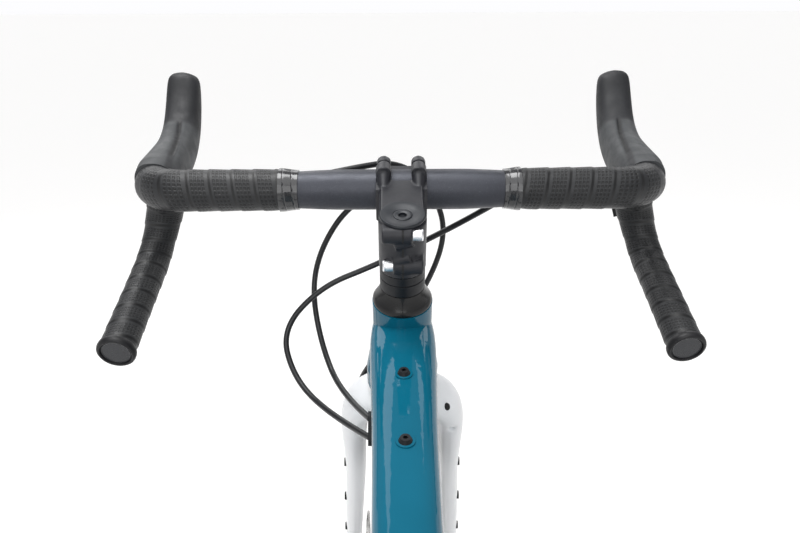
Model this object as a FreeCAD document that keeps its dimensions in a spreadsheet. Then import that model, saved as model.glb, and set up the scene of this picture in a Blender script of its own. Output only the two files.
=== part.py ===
import FreeCAD, Part
import math
import os
import re
import Sketcher

# Millimetres and degrees; +X is the bike's right side, +Y forward, +Z up,
# with the origin on the ground midway between the axles
V = FreeCAD.Vector
doc = FreeCAD.newDocument("gravel_bike")
sheet = doc.addObject("Spreadsheet::Sheet", "Sizes")

# Driving dimensions, grouped by the piece that carries them
SIZES = {
    # overall geometry
    "wheelbase": 1016, "bottom_bracket_drop": 70, "head_angle": 71, "seat_angle": 74.5,
    "fork_length": 392, "fork_rake": 50, "head_tube_length": 84, "lower_stack": 6,
    # tyres and rims
    "tyre_radius": 350, "tyre_width": 40, "tyre_wall": 3, "rim_edge_radius": 317, "rim_bed_radius": 311,
    "rim_well_radius": 307, "rim_shoulder_radius": 306, "rim_inner_radius": 297, "rim_width": 26,
    "rim_wall": 2.5, "rim_nose_half": 7, "rim_well_half": 4, "rim_well_slope": 1, "valve_radius": 3,
    "valve_length": 32,
    # spokes
    "spoke_count": 28, "spoke_cross_steps": 4, "spoke_radius": 1, "spoke_inset": 3, "spoke_stand": 0.8,
    "nipple_radius": 2, "nipple_length": 11, "nipple_gap": 0.3, "nipple_stagger": 2,
    # front hub, left end to right end
    "axle_radius": 6, "axle_fit": 0.05, "front_spacing": 100, "hub_end_gap": 0.3, "hub_cap_radius": 9.5,
    "hub_cap_length": 7, "rotor_boss_radius": 16, "front_boss_length": 13, "front_flange_radius": 27,
    "flange_thickness": 3.2, "hub_barrel_radius": 11, "hub_barrel_taper": 5, "front_right_cap": 12,
    # rear hub
    "rear_spacing": 142, "rear_cap_length": 9, "rear_boss_length": 21, "rear_flange_radius": 29,
    "rear_barrel_radius": 14, "rear_barrel_end": 80, "rear_neck_radius": 19, "rear_neck_length": 2,
    "hub_axle_radius": 8.5,
    # brake rotors
    "rotor_radius": 80, "rotor_track": 15, "rotor_arm_seat": 11.25, "rotor_hole_row": 5,
    "rotor_thickness": 1.8, "rotor_window_inner": 24, "rotor_arm_count": 6, "rotor_arm_width": 9,
    "rotor_hole_radius": 2.6, "rotor_hole_count": 24, "front_rotor_inset": 10.5, "rear_rotor_inset": 15.3,
    "lockring_radius": 20, "lockring_thickness": 3,
    # chain and sprockets
    "chain_pitch": 12.7, "roller_radius": 3.85, "roller_play": 0.15, "chain_line": 44.5,
    "tooth_height": 3.2, "tooth_opening": 77, "tooth_tip_half": 0.8, "ring_thickness": 1.8,
    "upper_run_pitches": 34, "ring_teeth": 40, "cog_teeth": 21, "pulley_teeth": 12,
    "inner_plate_gap": 1.15, "plate_thickness": 0.75, "outer_plate_gap": 1.95, "plate_half_height": 4.1,
    "plate_waist": 3.1, "pin_radius": 1.7, "pin_play": 0.08,
    # cassette
    "cog_thickness": 1.6, "cog_spacing": 3.9, "freehub_radius": 17, "freehub_fit": 0.1,
    "freehub_start": 24.2, "freehub_end": 68, "cog_window_rim": 7, "cog_window_count": 6,
    "teeth_per_window": 5, "cog_lock_radius": 18.4, "cog_lock_length": 3, "cog_spacer_radius": 18.3,
    # chainring and cranks
    "ring_bolt_radius": 24, "ring_hole_radius": 15, "ring_rim_depth": 11, "ring_arm_width": 15,
    "ring_arm_count": 5, "spindle_radius": 12, "spindle_bore": 9.5, "spindle_fit": 0.05,
    "crank_length": 170, "crank_inner": 62, "crank_thickness": 14, "crank_hub_radius": 19,
    "crank_end_radius": 15, "crank_edge": 2.5,
    # pedals
    "pedal_axle_radius": 6, "pedal_axle_short": 6, "pedal_end_gap": 0.5, "pedal_gap": 4,
    "pedal_width": 92, "pedal_length": 96, "pedal_height": 17, "pedal_window_width": 26,
    "pedal_window_length": 22, "pedal_corner": 14, "pedal_pin_radius": 1.8, "pedal_pin_height": 2.5,
    "pedal_pin_inset": 8,
    # bottom bracket
    "shell_radius": 22, "shell_width": 68, "shell_bore": 17, "cup_radius": 21, "cup_flange": 9,
    "cup_depth": 12,
    # head tube and headset
    "head_top_radius": 22.6, "head_low_radius": 28.5, "head_low_length": 16, "head_taper_end": 52,
    "head_bore_low": 21.5, "head_bore_top": 16.5, "bearing_depth": 8, "upper_bearing_radius": 20.6,
    "lower_bearing_radius": 25.5, "steerer_radius": 14.3, "steerer_base_radius": 19, "steerer_wall": 3,
    "bearing_fit": 0.05, "crown_race_radius": 26, "crown_race_height": 9.5, "headset_gap": 0.4,
    "cover_radius": 22.6, "cover_lip": 3, "cover_height": 15, "spacer_radius": 17.6, "lower_spacer": 10,
    "upper_spacer": 8,
    # top tube
    "top_tube_drop": 30, "top_tube_slope": 11.4, "top_front_width": 48.6, "top_front_height": 36,
    "top_head_width": 46.5, "top_lug_place": 32, "top_neck_place": 82, "top_neck_width": 45,
    "top_waist_place": 150, "top_waist_width": 41, "top_waist_height": 34, "tube_fullness": 2.5,
    "top_rear_width": 34, "top_rear_height": 29, "tube_wall": 2.2, "boss_bolt_radius": 4.4,
    "boss_bolt_top": 3.2, "boss_bolt_height": 2.6, "boss_radius": 6, "boss_stand": 0.8,
    "boss_first": 78.7, "boss_spacing": 64, "bolt_socket": 1.6, "bolt_socket_depth": 1.6,
    "bolt_shank": 2.5, "bolt_shank_length": 12,
    # down tube
    "down_tube_rise": 44, "down_front_width": 46, "down_front_height": 48, "down_rear_width": 52,
    "down_rear_height": 40.5, "port_along": 70, "port_hole_offset": 7, "port_length": 26,
    "port_width": 12, "port_stand": 3,
    # seat tube, clamp, post
    "seat_tube_radius": 16.5, "seat_tube_length": 425, "post_radius": 13.6, "post_fit": 0.05,
    "post_wall": 2.4, "post_insert": 120, "clamp_radius": 20, "clamp_height": 14, "clamp_drop": 2,
    "clamp_slit": 2.5, "clamp_lug": 9, "clamp_lug_depth": 12.6, "clamp_bolt_back": 3.15,
    "clamp_bolt_length": 20.7, "clamp_bolt_radius": 2.5,
    # stays and dropouts
    "seat_stay_drop": 45, "chain_stay_half_width": 8, "chain_stay_half_height": 13,
    "seat_stay_half_width": 6, "seat_stay_half_depth": 8, "axle_head_radius": 9, "axle_head_length": 4,
    "dropout_radius": 17, "dropout_thickness": 8, "hanger_drop": 28, "hanger_back": 10,
    "hanger_radius": 9, "hanger_root": 13.6, "eyelet_root": 11.9, "hanger_hole": 5, "eyelet_radius": 5.5,
    "eyelet_hole": 2.5, "eyelet_rise": 27, "eyelet_back": 8,
    # fork
    "fork_crown_half": 14, "fork_foot_radius": 14, "fork_foot_thickness": 12, "fork_bolt_radius": 4,
    "fork_bolt_height": 2.2, "fork_bolt_first": 123, "fork_bolt_spacing": 64, "fork_bolt_count": 3,
    "fork_bolt_seat": 3.4, "fork_port_radius": 3.4, "fork_port_rise": 8, "fork_crown_depth": 22,
    "steerer_shy": 3,
    # stem and faceplate
    "stem_length": 76, "stem_rise": 15.7, "stem_clamp_radius": 18, "stem_clamp_height": 42,
    "stem_root_radius": 16, "stem_tip_radius": 15, "bar_clamp_radius": 20.4, "bar_clamp_width": 39.5,
    "stem_slit": 1.6, "plate_split": 0.8, "ear_height": 27, "ear_width": 12, "ear_spread": 13.4,
    "ear_depth": 13, "stem_bolt_radius": 2.5, "stem_bolt_head": 4.2, "stem_head_length": 4.6,
    "pinch_offset": 11.5, "pinch_lug_radius": 6, "pinch_lug_back": 17.5, "pinch_width": 31,
    "pinch_head_place": 9, "plate_bolt_socket": 1.8, "plate_bolt_level": 23.4, "plate_bolt_short": 3,
    # top cap
    "cap_radius": 16.6, "cap_height": 5, "cap_crown": 2, "cap_lip": 2.4, "cap_bolt_radius": 5.4,
    "cap_bolt_top": 4.3, "cap_edge_drop": 0.67, "cap_socket_floor": 0.5, "cap_bolt_height": 2,
    "cap_socket": 2.6, "plug_length": 26, "plug_radius": 11.3,
    # handlebar and tape
    "bar_clamp_half": 45, "bar_taper_end": 112, "bar_centre_radius": 15.9, "bar_radius": 12,
    "bar_wall": 2.2, "bar_half_width": 201, "bar_reach": 86, "bar_ramp_drop": 4, "bar_ramp_out": 3,
    "hook_out": 13, "hook_reach": 74, "hook_drop": 74, "end_out": 226.9, "end_back": 36.7,
    "end_drop": 121.1, "corner_bend": 35, "hook_bend": 38, "drop_bend": 45, "tape_start": 82,
    "tape_top_radius": 17, "tape_drop_radius": 14.4, "tape_end_gap": 2, "plug_rim_radius": 15.8,
    "plug_rim": 4, "plug_face_radius": 12.6, "plug_recess": 1.6, "plug_depth": 14, "band_length": 13,
    "band_thickness": 0.6,
    # lever hoods and levers
    "hood_out": 203.5, "hood_reach": 159.7, "hood_rise": 74.9, "hood_half_width": 17,
    "hood_half_depth": 17, "hood_fullness": 2.3, "hood_slot_back": 12, "hood_slot_head": 9,
    "lever_pin_seat": 3, "lever_length": 105, "lever_half_width": 6, "lever_half_depth": 6,
    "paddle_pin_length": 12, "paddle_pin_stand": 1, "paddle_back": 10,
    "paddle_eye_length": 7, "paddle_eye_radius": 3.2,
    "tape_ramp_share": 0.46, "hood_slot_width": 11, "lever_width": 9, "lever_pin_radius": 2.2,
    "lever_pin_fit": 0.05, "lever_pivot_reach": 138, "lever_pivot_rise": 16, "lever_boss_radius": 7,
    "paddle_pin_radius": 1.6,
    # hoses
    "hose_radius": 2.5, "hose_gap": 0.3,
    # brake calipers
    "caliper_length": 62, "caliper_inner": 8.5, "caliper_outer": 16, "caliper_height": 27,
    "caliper_edge": 4, "caliper_slot": 9, "caliper_clear": 2, "pad_length": 26, "pad_height": 16,
    "pad_gap": 0.3, "rear_caliper_reach": 66, "rear_caliper_lift": 21.6, "front_caliper_reach": 75,
    "front_caliper_lift": 24.5, "caliper_bolt_radius": 3.5, "caliper_bolt_height": 3,
    # derailleur
    "guide_drop": 83, "guide_ahead": 8, "cage_length": 82, "cage_gap": 3.4, "cage_plate": 1.5,
    "cage_eye": 12, "cage_waist": 8, "pulley_bolt_radius": 2.5, "pulley_fit": 0.1, "pulley_boss": 6,
    "link_back": 25, "link_ahead": 19, "link_drop": 55, "link_place": 78, "link_spacing": 12,
    "plate_eye": 6.2, "link_web": 5, "link_web_gap": 0.6, "mount_arm_back": 21.5, "mount_arm_drop": 34.7,
    "mount_arm_gap": 0.3, "mount_arm_width": 14, "mount_arm_length": 19, "mount_arm_height": 13.5,
    "mount_bolt_head_height": 4, "knuckle_out": 14, "knuckle_arm_rise": 3, "knuckle_arm_radius": 6,
    "cage_window_share": 0.3, "pulley_side_gap": 0.3, "link_swing": 12, "link_height": 17,
    "link_pin_radius": 2, "link_pin_fit": 0.05, "link_eye": 4.5, "link_tilt": 20, "fork_plate": 4,
    "plate_gap": 0.5, "knuckle_radius": 12, "knuckle_length": 16, "cage_stub_radius": 5,
    "cage_stub_fit": 0.05, "mount_knuckle_radius": 11, "mount_bolt_radius": 5, "mount_knuckle_length": 15,
    "mount_bolt_head": 7,
    # saddle
    "saddle_height": 885, "saddle_length": 268, "saddle_half_width": 71, "saddle_depth": 36,
    "rail_radius": 3.5, "rail_half": 22, "rail_drop": 44, "rail_length": 112, "rail_bend": 24,
    "rail_seat_depth": 21.6, "rail_spread": 11, "rail_nose_reach": 98, "rail_tail_reach": 89.6,
    "saddle_shift": 18, "saddle_fullness": 2.6, "cradle_radius": 14, "cradle_width": 62,
    "cradle_plate": 6, "cradle_drop": 11.2, "plate_lift": 1.75, "plate_length": 36.4,
    "cradle_bolt_place": 11,
}
for row, (alias, value) in enumerate(SIZES.items(), start=1):
    sheet.set("A%d" % row, alias)
    sheet.set("B%d" % row, str(value))
    sheet.setAlias("B%d" % row, alias)
doc.recompute()


class Cells:
    """Reads a driving dimension from the sheet by its alias."""

    def __getattr__(self, alias):
        return float(sheet.get(alias))


S = Cells()
nodes = {}


def bound(text):
    """The same sum with each alias taken from the sheet."""
    def cell(word):
        return "Sizes." + word.group() if word.group() in SIZES else word.group()

    return re.sub(r"[a-z_]+", cell, text)


# Directions and turned frames
RIGHT = V(1, 0, 0)
AHEAD = V(0, 1, 0)
UP = V(0, 0, 1)
FLAT = FreeCAD.Rotation()
ACROSS = FreeCAD.Rotation(UP, RIGHT)
head = math.radians(S.head_angle)
seat = math.radians(S.seat_angle)
STEER_UP = V(0, -math.cos(head), math.sin(head))
STEER_AHEAD = V(0, math.sin(head), math.cos(head))
STEER = FreeCAD.Rotation(UP, STEER_UP)
SEAT_UP = V(0, -math.cos(seat), math.sin(seat))


def pitch_radius(teeth):
    """Radius of the circle that a sprocket's chain pins lie on."""
    return S.chain_pitch / 2 / math.sin(math.pi / teeth)


# Main points of the frame: axles, bottom bracket and steering axis
upper_run = S.upper_run_pitches * S.chain_pitch
chain_stay_length = math.hypot(upper_run, pitch_radius(S.ring_teeth) - pitch_radius(S.cog_teeth))
rear_axle = V(0, -S.wheelbase / 2, S.tyre_radius)
front_axle = V(0, S.wheelbase / 2, S.tyre_radius)
bracket = rear_axle + V(0, math.sqrt(chain_stay_length**2 - S.bottom_bracket_drop**2), -S.bottom_bracket_drop)
crown_seat = front_axle - STEER_AHEAD * S.fork_rake + STEER_UP * S.fork_length
head_low = crown_seat + STEER_UP * S.lower_stack
head_top = head_low + STEER_UP * S.head_tube_length
stem_low = head_top + STEER_UP * (S.cover_height + S.lower_spacer + S.upper_spacer)
stem_mid = stem_low + STEER_UP * (S.stem_clamp_height / 2)
rise = math.radians(S.stem_rise)
STEM_AHEAD = V(0, math.cos(rise), math.sin(rise))
bar_mid = stem_mid + STEM_AHEAD * S.stem_length
seat_tube_top = bracket + SEAT_UP * S.seat_tube_length


# Parametric pieces whose sizes are bound to the sheet
def rod(name, radius, length, base, turn=FLAT):
    """A round bar from its base along its own Z."""
    piece = doc.addObject("Part::Cylinder", name)
    piece.setExpression("Radius", bound(radius))
    piece.setExpression("Height", bound(length))
    piece.Placement = FreeCAD.Placement(base, turn)
    return piece


def cone(name, radius, end_radius, length, base, turn=FLAT):
    """A tapered round bar from its base along its own Z."""
    piece = doc.addObject("Part::Cone", name)
    piece.setExpression("Radius1", bound(radius))
    piece.setExpression("Radius2", bound(end_radius))
    piece.setExpression("Height", bound(length))
    piece.Placement = FreeCAD.Placement(base, turn)
    return piece


def block(name, sizes, centre, turn=FLAT):
    """A block with its middle at the given point."""
    piece = doc.addObject("Part::Box", name)
    for side, size in zip(("Length", "Width", "Height"), sizes):
        piece.setExpression(side, bound(size))
    doc.recompute()
    half = V(piece.Length.Value, piece.Width.Value, piece.Height.Value) / 2
    piece.Placement = FreeCAD.Placement(centre - turn.multVec(half), turn)
    return piece


def cut(name, base, tool):
    """One piece less another."""
    piece = doc.addObject("Part::Cut", name)
    piece.Base = base
    piece.Tool = tool
    return piece


def fuse(name, members):
    """Several pieces joined as one."""
    piece = doc.addObject("Part::MultiFuse", name)
    piece.Shapes = members
    return piece


def group(name, members):
    """Separate solids that one node holds."""
    piece = doc.addObject("Part::Compound", name)
    piece.Links = members
    return piece


def shaped(name, shape):
    """A piece with a lofted, swept or cut shape."""
    piece = doc.addObject("Part::Feature", name)
    piece.Shape = shape
    return piece


def ring(name, outer, inner, length, base, turn=FLAT):
    """A bored round piece."""
    outside = rod(name + "_outer", outer, length, base, turn)
    return cut(name, outside, rod(name + "_bore", inner, length, base, turn))


def origin_plane(body, role):
    """One of a body's own planes."""
    return [part for part in body.Origin.OriginFeatures if part.Role == role][0]


def outline_sketch(body, name, role, outline):
    """A closed outline of straight lines with every corner bound to the sheet."""
    sketch = body.newObject("Sketcher::SketchObject", name)
    sketch.AttachmentSupport = [(origin_plane(body, role), "")]
    sketch.MapMode = "FlatFace"
    count = len(outline)
    spots = []
    for i in range(count):
        angle = math.tau * i / count
        spots.append(V(math.cos(angle), math.sin(angle), 0) * count)
    for i in range(count):
        sketch.addGeometry(Part.LineSegment(spots[i], spots[(i + 1) % count]))
    for i in range(count):
        sketch.addConstraint(Sketcher.Constraint("Coincident", i, 2, (i + 1) % count, 1))
    for i, corner in enumerate(outline):
        for kind, axis, text in zip(("DistanceX", "DistanceY"), (-2, -1), corner):
            if text == "0":
                sketch.addConstraint(Sketcher.Constraint("PointOnObject", i, 1, axis))
            else:
                place = sketch.addConstraint(Sketcher.Constraint(kind, -1, 1, i, 1, count))
                sketch.setExpression("Constraints[%d]" % place, bound(text))
    return sketch


def turned(name, outline, base, turn=FLAT):
    """A turned piece: an outline of (radius, length along) spun about its own Z."""
    body = doc.addObject("PartDesign::Body", name)
    sketch = outline_sketch(body, name + "_outline", "XZ_Plane", outline)
    spin = body.newObject("PartDesign::Revolution", name + "_spin")
    spin.Profile = sketch
    spin.ReferenceAxis = (sketch, ["V_Axis"])
    spin.Angle = 360
    body.Placement = FreeCAD.Placement(base, turn)
    return body


# Lofted and swept shapes
limb_steps = 3
section_points = 16


def section(centre, side, rise_way, half_side, half_rise, fullness=2.0):
    """A closed smooth outline between an ellipse and a rounded box."""
    spots = []
    for i in range(section_points):
        angle = math.tau * i / section_points
        c, s = math.cos(angle), math.sin(angle)
        across = math.copysign(abs(c) ** (2 / fullness), c) * half_side
        upward = math.copysign(abs(s) ** (2 / fullness), s) * half_rise
        spots.append(centre + side * across + rise_way * upward)
    curve = Part.BSplineCurve()
    curve.interpolate(spots, PeriodicFlag=True)
    return Part.Wire(curve.toShape())


def loft(sections):
    """A smooth solid through a row of outlines."""
    return Part.makeLoft(sections, True, False)


def gentle_slope(before, after, step_before, step_after):
    """The slope of a smooth line at a point, flat wherever the line turns back."""
    if before * after <= 0:
        return 0.0
    first = 2 * step_after + step_before
    last = step_after + 2 * step_before
    return (first + last) / (first / before + last / after)


def even_rows(rows, count):
    """Rows evenly spaced along smooth lines through the given rows, by the first number of each."""
    places = [row[0] for row in rows]
    steps = [b - a for a, b in zip(places, places[1:])]
    columns = []
    for values in zip(*rows):
        rises = [(b - a) / step for a, b, step in zip(values, values[1:], steps)]
        inner = [gentle_slope(*four) for four in zip(rises, rises[1:], steps, steps[1:])]
        slopes = rises[:1] + inner + rises[-1:]
        column = []
        for k in range(count):
            place = places[0] + (places[-1] - places[0]) * k / (count - 1)
            i = max(j for j in range(len(steps)) if places[j] <= place or j == 0)
            part = (place - places[i]) / steps[i]
            lift = (slopes[i] * (1 - part) - slopes[i + 1] * part) * steps[i] * part * (1 - part)
            column.append(values[i] + (values[i + 1] - values[i]) * part**2 * (3 - 2 * part) + lift)
        columns.append(column)
    return list(zip(*columns))


def limb(stations, side, fullness=2.0):
    """A loft along a row of (centre, half size to the side, half size across the run) stations."""
    rows = []
    place = 0.0
    last = stations[0][0]
    for centre, half_side, half_rise in stations:
        place += (centre - last).Length
        last = centre
        rows.append((place, centre.x, centre.y, centre.z, half_side, half_rise))
    rows = even_rows(rows, limb_steps * (len(stations) - 1) + 1)
    spots = [V(*row[1:4]) for row in rows]
    wires = []
    for i, row in enumerate(rows):
        run = (spots[min(i + 1, len(spots) - 1)] - spots[max(i - 1, 0)]).normalize()
        across = run.cross(side).normalize()
        level = across.cross(run).normalize()
        wires.append(section(spots[i], level, across, row[4], row[5], fullness))
    return loft(wires)


def rounded_path(points, bends):
    """Straight runs through the points, with each inner corner turned by a tangent arc."""
    edges = []
    start = points[0]
    for i, bend in enumerate(bends):
        corner = points[i + 1]
        back = (points[i] - corner).normalize()
        on = (points[i + 2] - corner).normalize()
        half_turn = (math.pi - back.getAngle(on)) / 2
        reach = bend * math.tan(half_turn)
        arc_start = corner + back * reach
        arc_end = corner + on * reach
        inward = (back + on).normalize()
        middle = corner + inward * (bend / math.cos(half_turn) - bend)
        edges.append(Part.LineSegment(start, arc_start).toShape())
        edges.append(Part.Arc(arc_start, middle, arc_end).toShape())
        start = arc_end
    edges.append(Part.LineSegment(start, points[-1]).toShape())
    return Part.Wire(edges)


def easy_bends(points, share=0.45):
    """Arc radii that take up to a fixed share of the shorter run at each corner."""
    bends = []
    for a, b, c in zip(points, points[1:], points[2:]):
        half_turn = (math.pi - (a - b).getAngle(c - b)) / 2
        bends.append(share * min((a - b).Length, (c - b).Length) / math.tan(half_turn))
    return bends


def pipe(path, radius):
    """A round bar swept along a path."""
    first = path.OrderedEdges[0]
    start = first.valueAt(first.FirstParameter)
    way = first.tangentAt(first.FirstParameter)
    circle = Part.Wire(Part.Circle(start, way, radius).toShape())
    return path.makePipeShell([circle], True, False)


def drum(centre, way, radius, length):
    """A round bar with its middle at the given point."""
    way = V(way).normalize()
    return Part.makeCylinder(radius, length, centre - way * (length / 2), way)


def stadium(first, first_radius, last, last_radius, normal, thickness):
    """A flat strap with a round end at each of two points."""
    run = last - first
    way = V(run).normalize()
    side = V(normal).cross(way).normalize()
    lean = (first_radius - last_radius) / run.Length
    up = math.sqrt(1 - lean**2)
    corners = []
    for point, radius in ((first, first_radius), (last, last_radius)):
        corners.append((point + (side * up + way * lean) * radius, point + (way * lean - side * up) * radius))
    edges = [
        Part.LineSegment(corners[0][0], corners[1][0]).toShape(),
        Part.Arc(corners[1][0], last + way * last_radius, corners[1][1]).toShape(),
        Part.LineSegment(corners[1][1], corners[0][1]).toShape(),
        Part.Arc(corners[0][1], first - way * first_radius, corners[0][0]).toShape(),
    ]
    face = Part.Face(Part.Wire(edges))
    strap = face.extrude(V(normal).normalize() * thickness)
    strap.translate(V(normal).normalize() * (-thickness / 2))
    return strap


def slab(centre, along, half_along, upward, half_up, across):
    """A block with its middle at the given point and free directions."""
    corners = []
    for a, b in ((-1, -1), (1, -1), (1, 1), (-1, 1)):
        corners.append(centre + along * (a * half_along) + upward * (b * half_up) - across / 2)
    return Part.Face(Part.makePolygon(corners + corners[:1])).extrude(across)


# Wheels: tyre, rim with its valve, laced spokes, hub and brake rotor
def tyre(name, axle):
    """An open tyre carcass that sits on the rim's two edges."""
    skins = []
    for layer, radius in (("outside", "tyre_width/2"), ("inside", "tyre_width/2-tyre_wall")):
        skin = doc.addObject("Part::Torus", name + "_" + layer)
        skin.setExpression("Radius1", bound("tyre_radius-tyre_width/2"))
        skin.setExpression("Radius2", bound(radius))
        skin.Placement = FreeCAD.Placement(axle, ACROSS)
        skins.append(skin)
    carcass = cut(name + "_carcass", *skins)
    mouth = rod(name + "_mouth", "rim_edge_radius", "tyre_width", axle - RIGHT * (S.tyre_width / 2), ACROSS)
    nodes[name] = cut(name, carcass, mouth)


def rim(name, axle):
    """A rim with a spoke bed, two tyre walls and a drop well, and its valve."""
    mid = "rim_width/2"
    outline = [
        ("rim_inner_radius", mid + "-rim_nose_half"),
        ("rim_inner_radius", mid + "+rim_nose_half"),
        ("rim_shoulder_radius", "rim_width"),
        ("rim_edge_radius", "rim_width"),
        ("rim_edge_radius", "rim_width-rim_wall"),
        ("rim_bed_radius", "rim_width-rim_wall"),
        ("rim_bed_radius", mid + "+rim_well_half+rim_well_slope"),
        ("rim_well_radius", mid + "+rim_well_half"),
        ("rim_well_radius", mid + "-rim_well_half"),
        ("rim_bed_radius", mid + "-rim_well_half-rim_well_slope"),
        ("rim_bed_radius", "rim_wall"),
        ("rim_edge_radius", "rim_wall"),
        ("rim_edge_radius", "0"),
        ("rim_shoulder_radius", "0"),
    ]
    hoop = turned(name + "_hoop", outline, axle - RIGHT * (S.rim_width / 2), ACROSS)
    angle = math.pi / S.spoke_count
    outward = V(0, math.cos(angle), math.sin(angle))
    foot = axle + outward * (S.rim_inner_radius - S.nipple_gap - S.valve_length)
    valve = rod(name + "_valve", "valve_radius", "valve_length", foot, FreeCAD.Rotation(UP, outward))
    nodes[name] = group(name, [hoop, valve])


def spokes(name, axle, flanges, flange_radius):
    """Spokes laced over two crossings, in turn from the inside and the outside of each flange."""
    step = math.tau / S.spoke_count
    hole_radius = flange_radius - S.spoke_inset
    solids = []
    for i in range(int(S.spoke_count)):
        side = i % 2
        pair = i // 2
        lean = 1 if pair % 2 else -1
        inner, outer = flanges[side]
        hand = 1 if outer > inner else -1
        if pair % 2:
            start_x = inner - hand * (S.spoke_radius + S.spoke_stand)
        else:
            start_x = outer + hand * (S.spoke_radius + S.spoke_stand)
        rim_angle = step * i
        hub_angle = rim_angle + lean * S.spoke_cross_steps * step
        start = axle + V(start_x, math.cos(hub_angle) * hole_radius, math.sin(hub_angle) * hole_radius)
        reach = S.rim_inner_radius - S.nipple_gap
        end = axle + V(hand * S.nipple_stagger, math.cos(rim_angle) * reach, math.sin(rim_angle) * reach)
        way = (end - start).normalize()
        wire = Part.makeCylinder(S.spoke_radius, (end - start).Length, start, way)
        nipple = Part.makeCylinder(S.nipple_radius, S.nipple_length, end - way * S.nipple_length, way)
        solids.append(wire.fuse(nipple))
    nodes[name] = shaped(name, Part.makeCompound(solids))


def rotor(name, centre):
    """A brake disc: drilled track, slanted arms, carrier and lock ring."""
    base = centre - RIGHT * (S.rotor_thickness / 2)
    track = ring(name + "_track", "rotor_radius", "rotor_radius-rotor_track", "rotor_thickness", base, ACROSS)
    carrier_sizes = ("rotor_window_inner", "rotor_boss_radius", "rotor_thickness")
    carrier = ring(name + "_carrier", *carrier_sizes, base, ACROSS)
    arms = []
    count = int(S.rotor_arm_count)
    hub_radius = (S.rotor_window_inner + S.rotor_boss_radius) / 2
    track_radius = S.rotor_radius - S.rotor_arm_seat
    for i in range(count):
        first_angle = math.tau * i / count
        last_angle = first_angle + math.pi / count
        first = centre + V(0, math.cos(first_angle), math.sin(first_angle)) * hub_radius
        last = centre + V(0, math.cos(last_angle), math.sin(last_angle)) * track_radius
        turn = FreeCAD.Rotation(RIGHT, V(), last - first, "XZY")
        sizes = ("rotor_thickness", "rotor_arm_width", "rotor_radius-rotor_arm_seat-rotor_boss_radius")
        arms.append(block("%s_arm_%d" % (name, i), sizes, (first + last) / 2, turn))
    disc = fuse(name + "_disc", [track, carrier] + arms)
    holes = []
    for i in range(int(S.rotor_hole_count)):
        angle = math.tau * i / S.rotor_hole_count
        radius = S.rotor_radius - S.rotor_hole_row * (1 if i % 2 else 2)
        spot = base + V(0, math.cos(angle), math.sin(angle)) * radius
        holes.append(rod("%s_hole_%d" % (name, i), "rotor_hole_radius", "rotor_thickness", spot, ACROSS))
    drilled = cut(name + "_drilled", disc, group(name + "_holes", holes))
    lock_base = base - RIGHT * S.lockring_thickness
    lock_sizes = ("lockring_radius", "rotor_boss_radius", "lockring_thickness")
    lock = ring(name + "_lock", *lock_sizes, lock_base, ACROSS)
    nodes[name] = group(name, [drilled, lock])


bore = "axle_radius+axle_fit"
front_hub_left = front_axle - RIGHT * (S.front_spacing / 2 - S.hub_end_gap)
front_end = "front_spacing-2*hub_end_gap"
front_flange_left = "hub_cap_length+front_boss_length"
front_flange_right = "front_spacing-front_right_cap"
nodes["front_hub"] = turned("front_hub", [
    (bore, "0"),
    ("hub_cap_radius", "0"),
    ("hub_cap_radius", "hub_cap_length"),
    ("rotor_boss_radius", "hub_cap_length"),
    ("rotor_boss_radius", front_flange_left),
    ("front_flange_radius", front_flange_left),
    ("front_flange_radius", front_flange_left + "+flange_thickness"),
    ("hub_barrel_radius", front_flange_left + "+flange_thickness+hub_barrel_taper"),
    ("hub_barrel_radius", front_flange_right + "-flange_thickness-hub_barrel_taper"),
    ("front_flange_radius", front_flange_right + "-flange_thickness"),
    ("front_flange_radius", front_flange_right),
    ("hub_cap_radius", front_flange_right),
    ("hub_cap_radius", front_end),
    (bore, front_end),
], front_hub_left, ACROSS)
rear_hub_left = rear_axle - RIGHT * (S.rear_spacing / 2 - S.hub_end_gap)
rear_end = "rear_spacing-2*hub_end_gap"
rear_flange_left = "rear_cap_length+rear_boss_length"
rear_flange_right = "rear_barrel_end+hub_barrel_taper"
rear_neck = rear_flange_right + "+flange_thickness+rear_neck_length"
nodes["rear_hub"] = turned("rear_hub", [
    (bore, "0"),
    ("hub_cap_radius", "0"),
    ("hub_cap_radius", "rear_cap_length"),
    ("rotor_boss_radius", "rear_cap_length"),
    ("rotor_boss_radius", rear_flange_left),
    ("rear_flange_radius", rear_flange_left),
    ("rear_flange_radius", rear_flange_left + "+flange_thickness"),
    ("rear_barrel_radius", rear_flange_left + "+flange_thickness+hub_barrel_taper"),
    ("rear_barrel_radius", "rear_barrel_end"),
    ("rear_flange_radius", rear_flange_right),
    ("rear_flange_radius", rear_flange_right + "+flange_thickness"),
    ("rear_neck_radius", rear_flange_right + "+flange_thickness"),
    ("rear_neck_radius", rear_neck),
    ("hub_axle_radius", rear_neck),
    ("hub_axle_radius", rear_end),
    (bore, rear_end),
], rear_hub_left, ACROSS)


def flange_faces(left, along):
    """A flange's two faces, left face first."""
    face = left.x + along
    return face, face + S.flange_thickness


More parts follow.
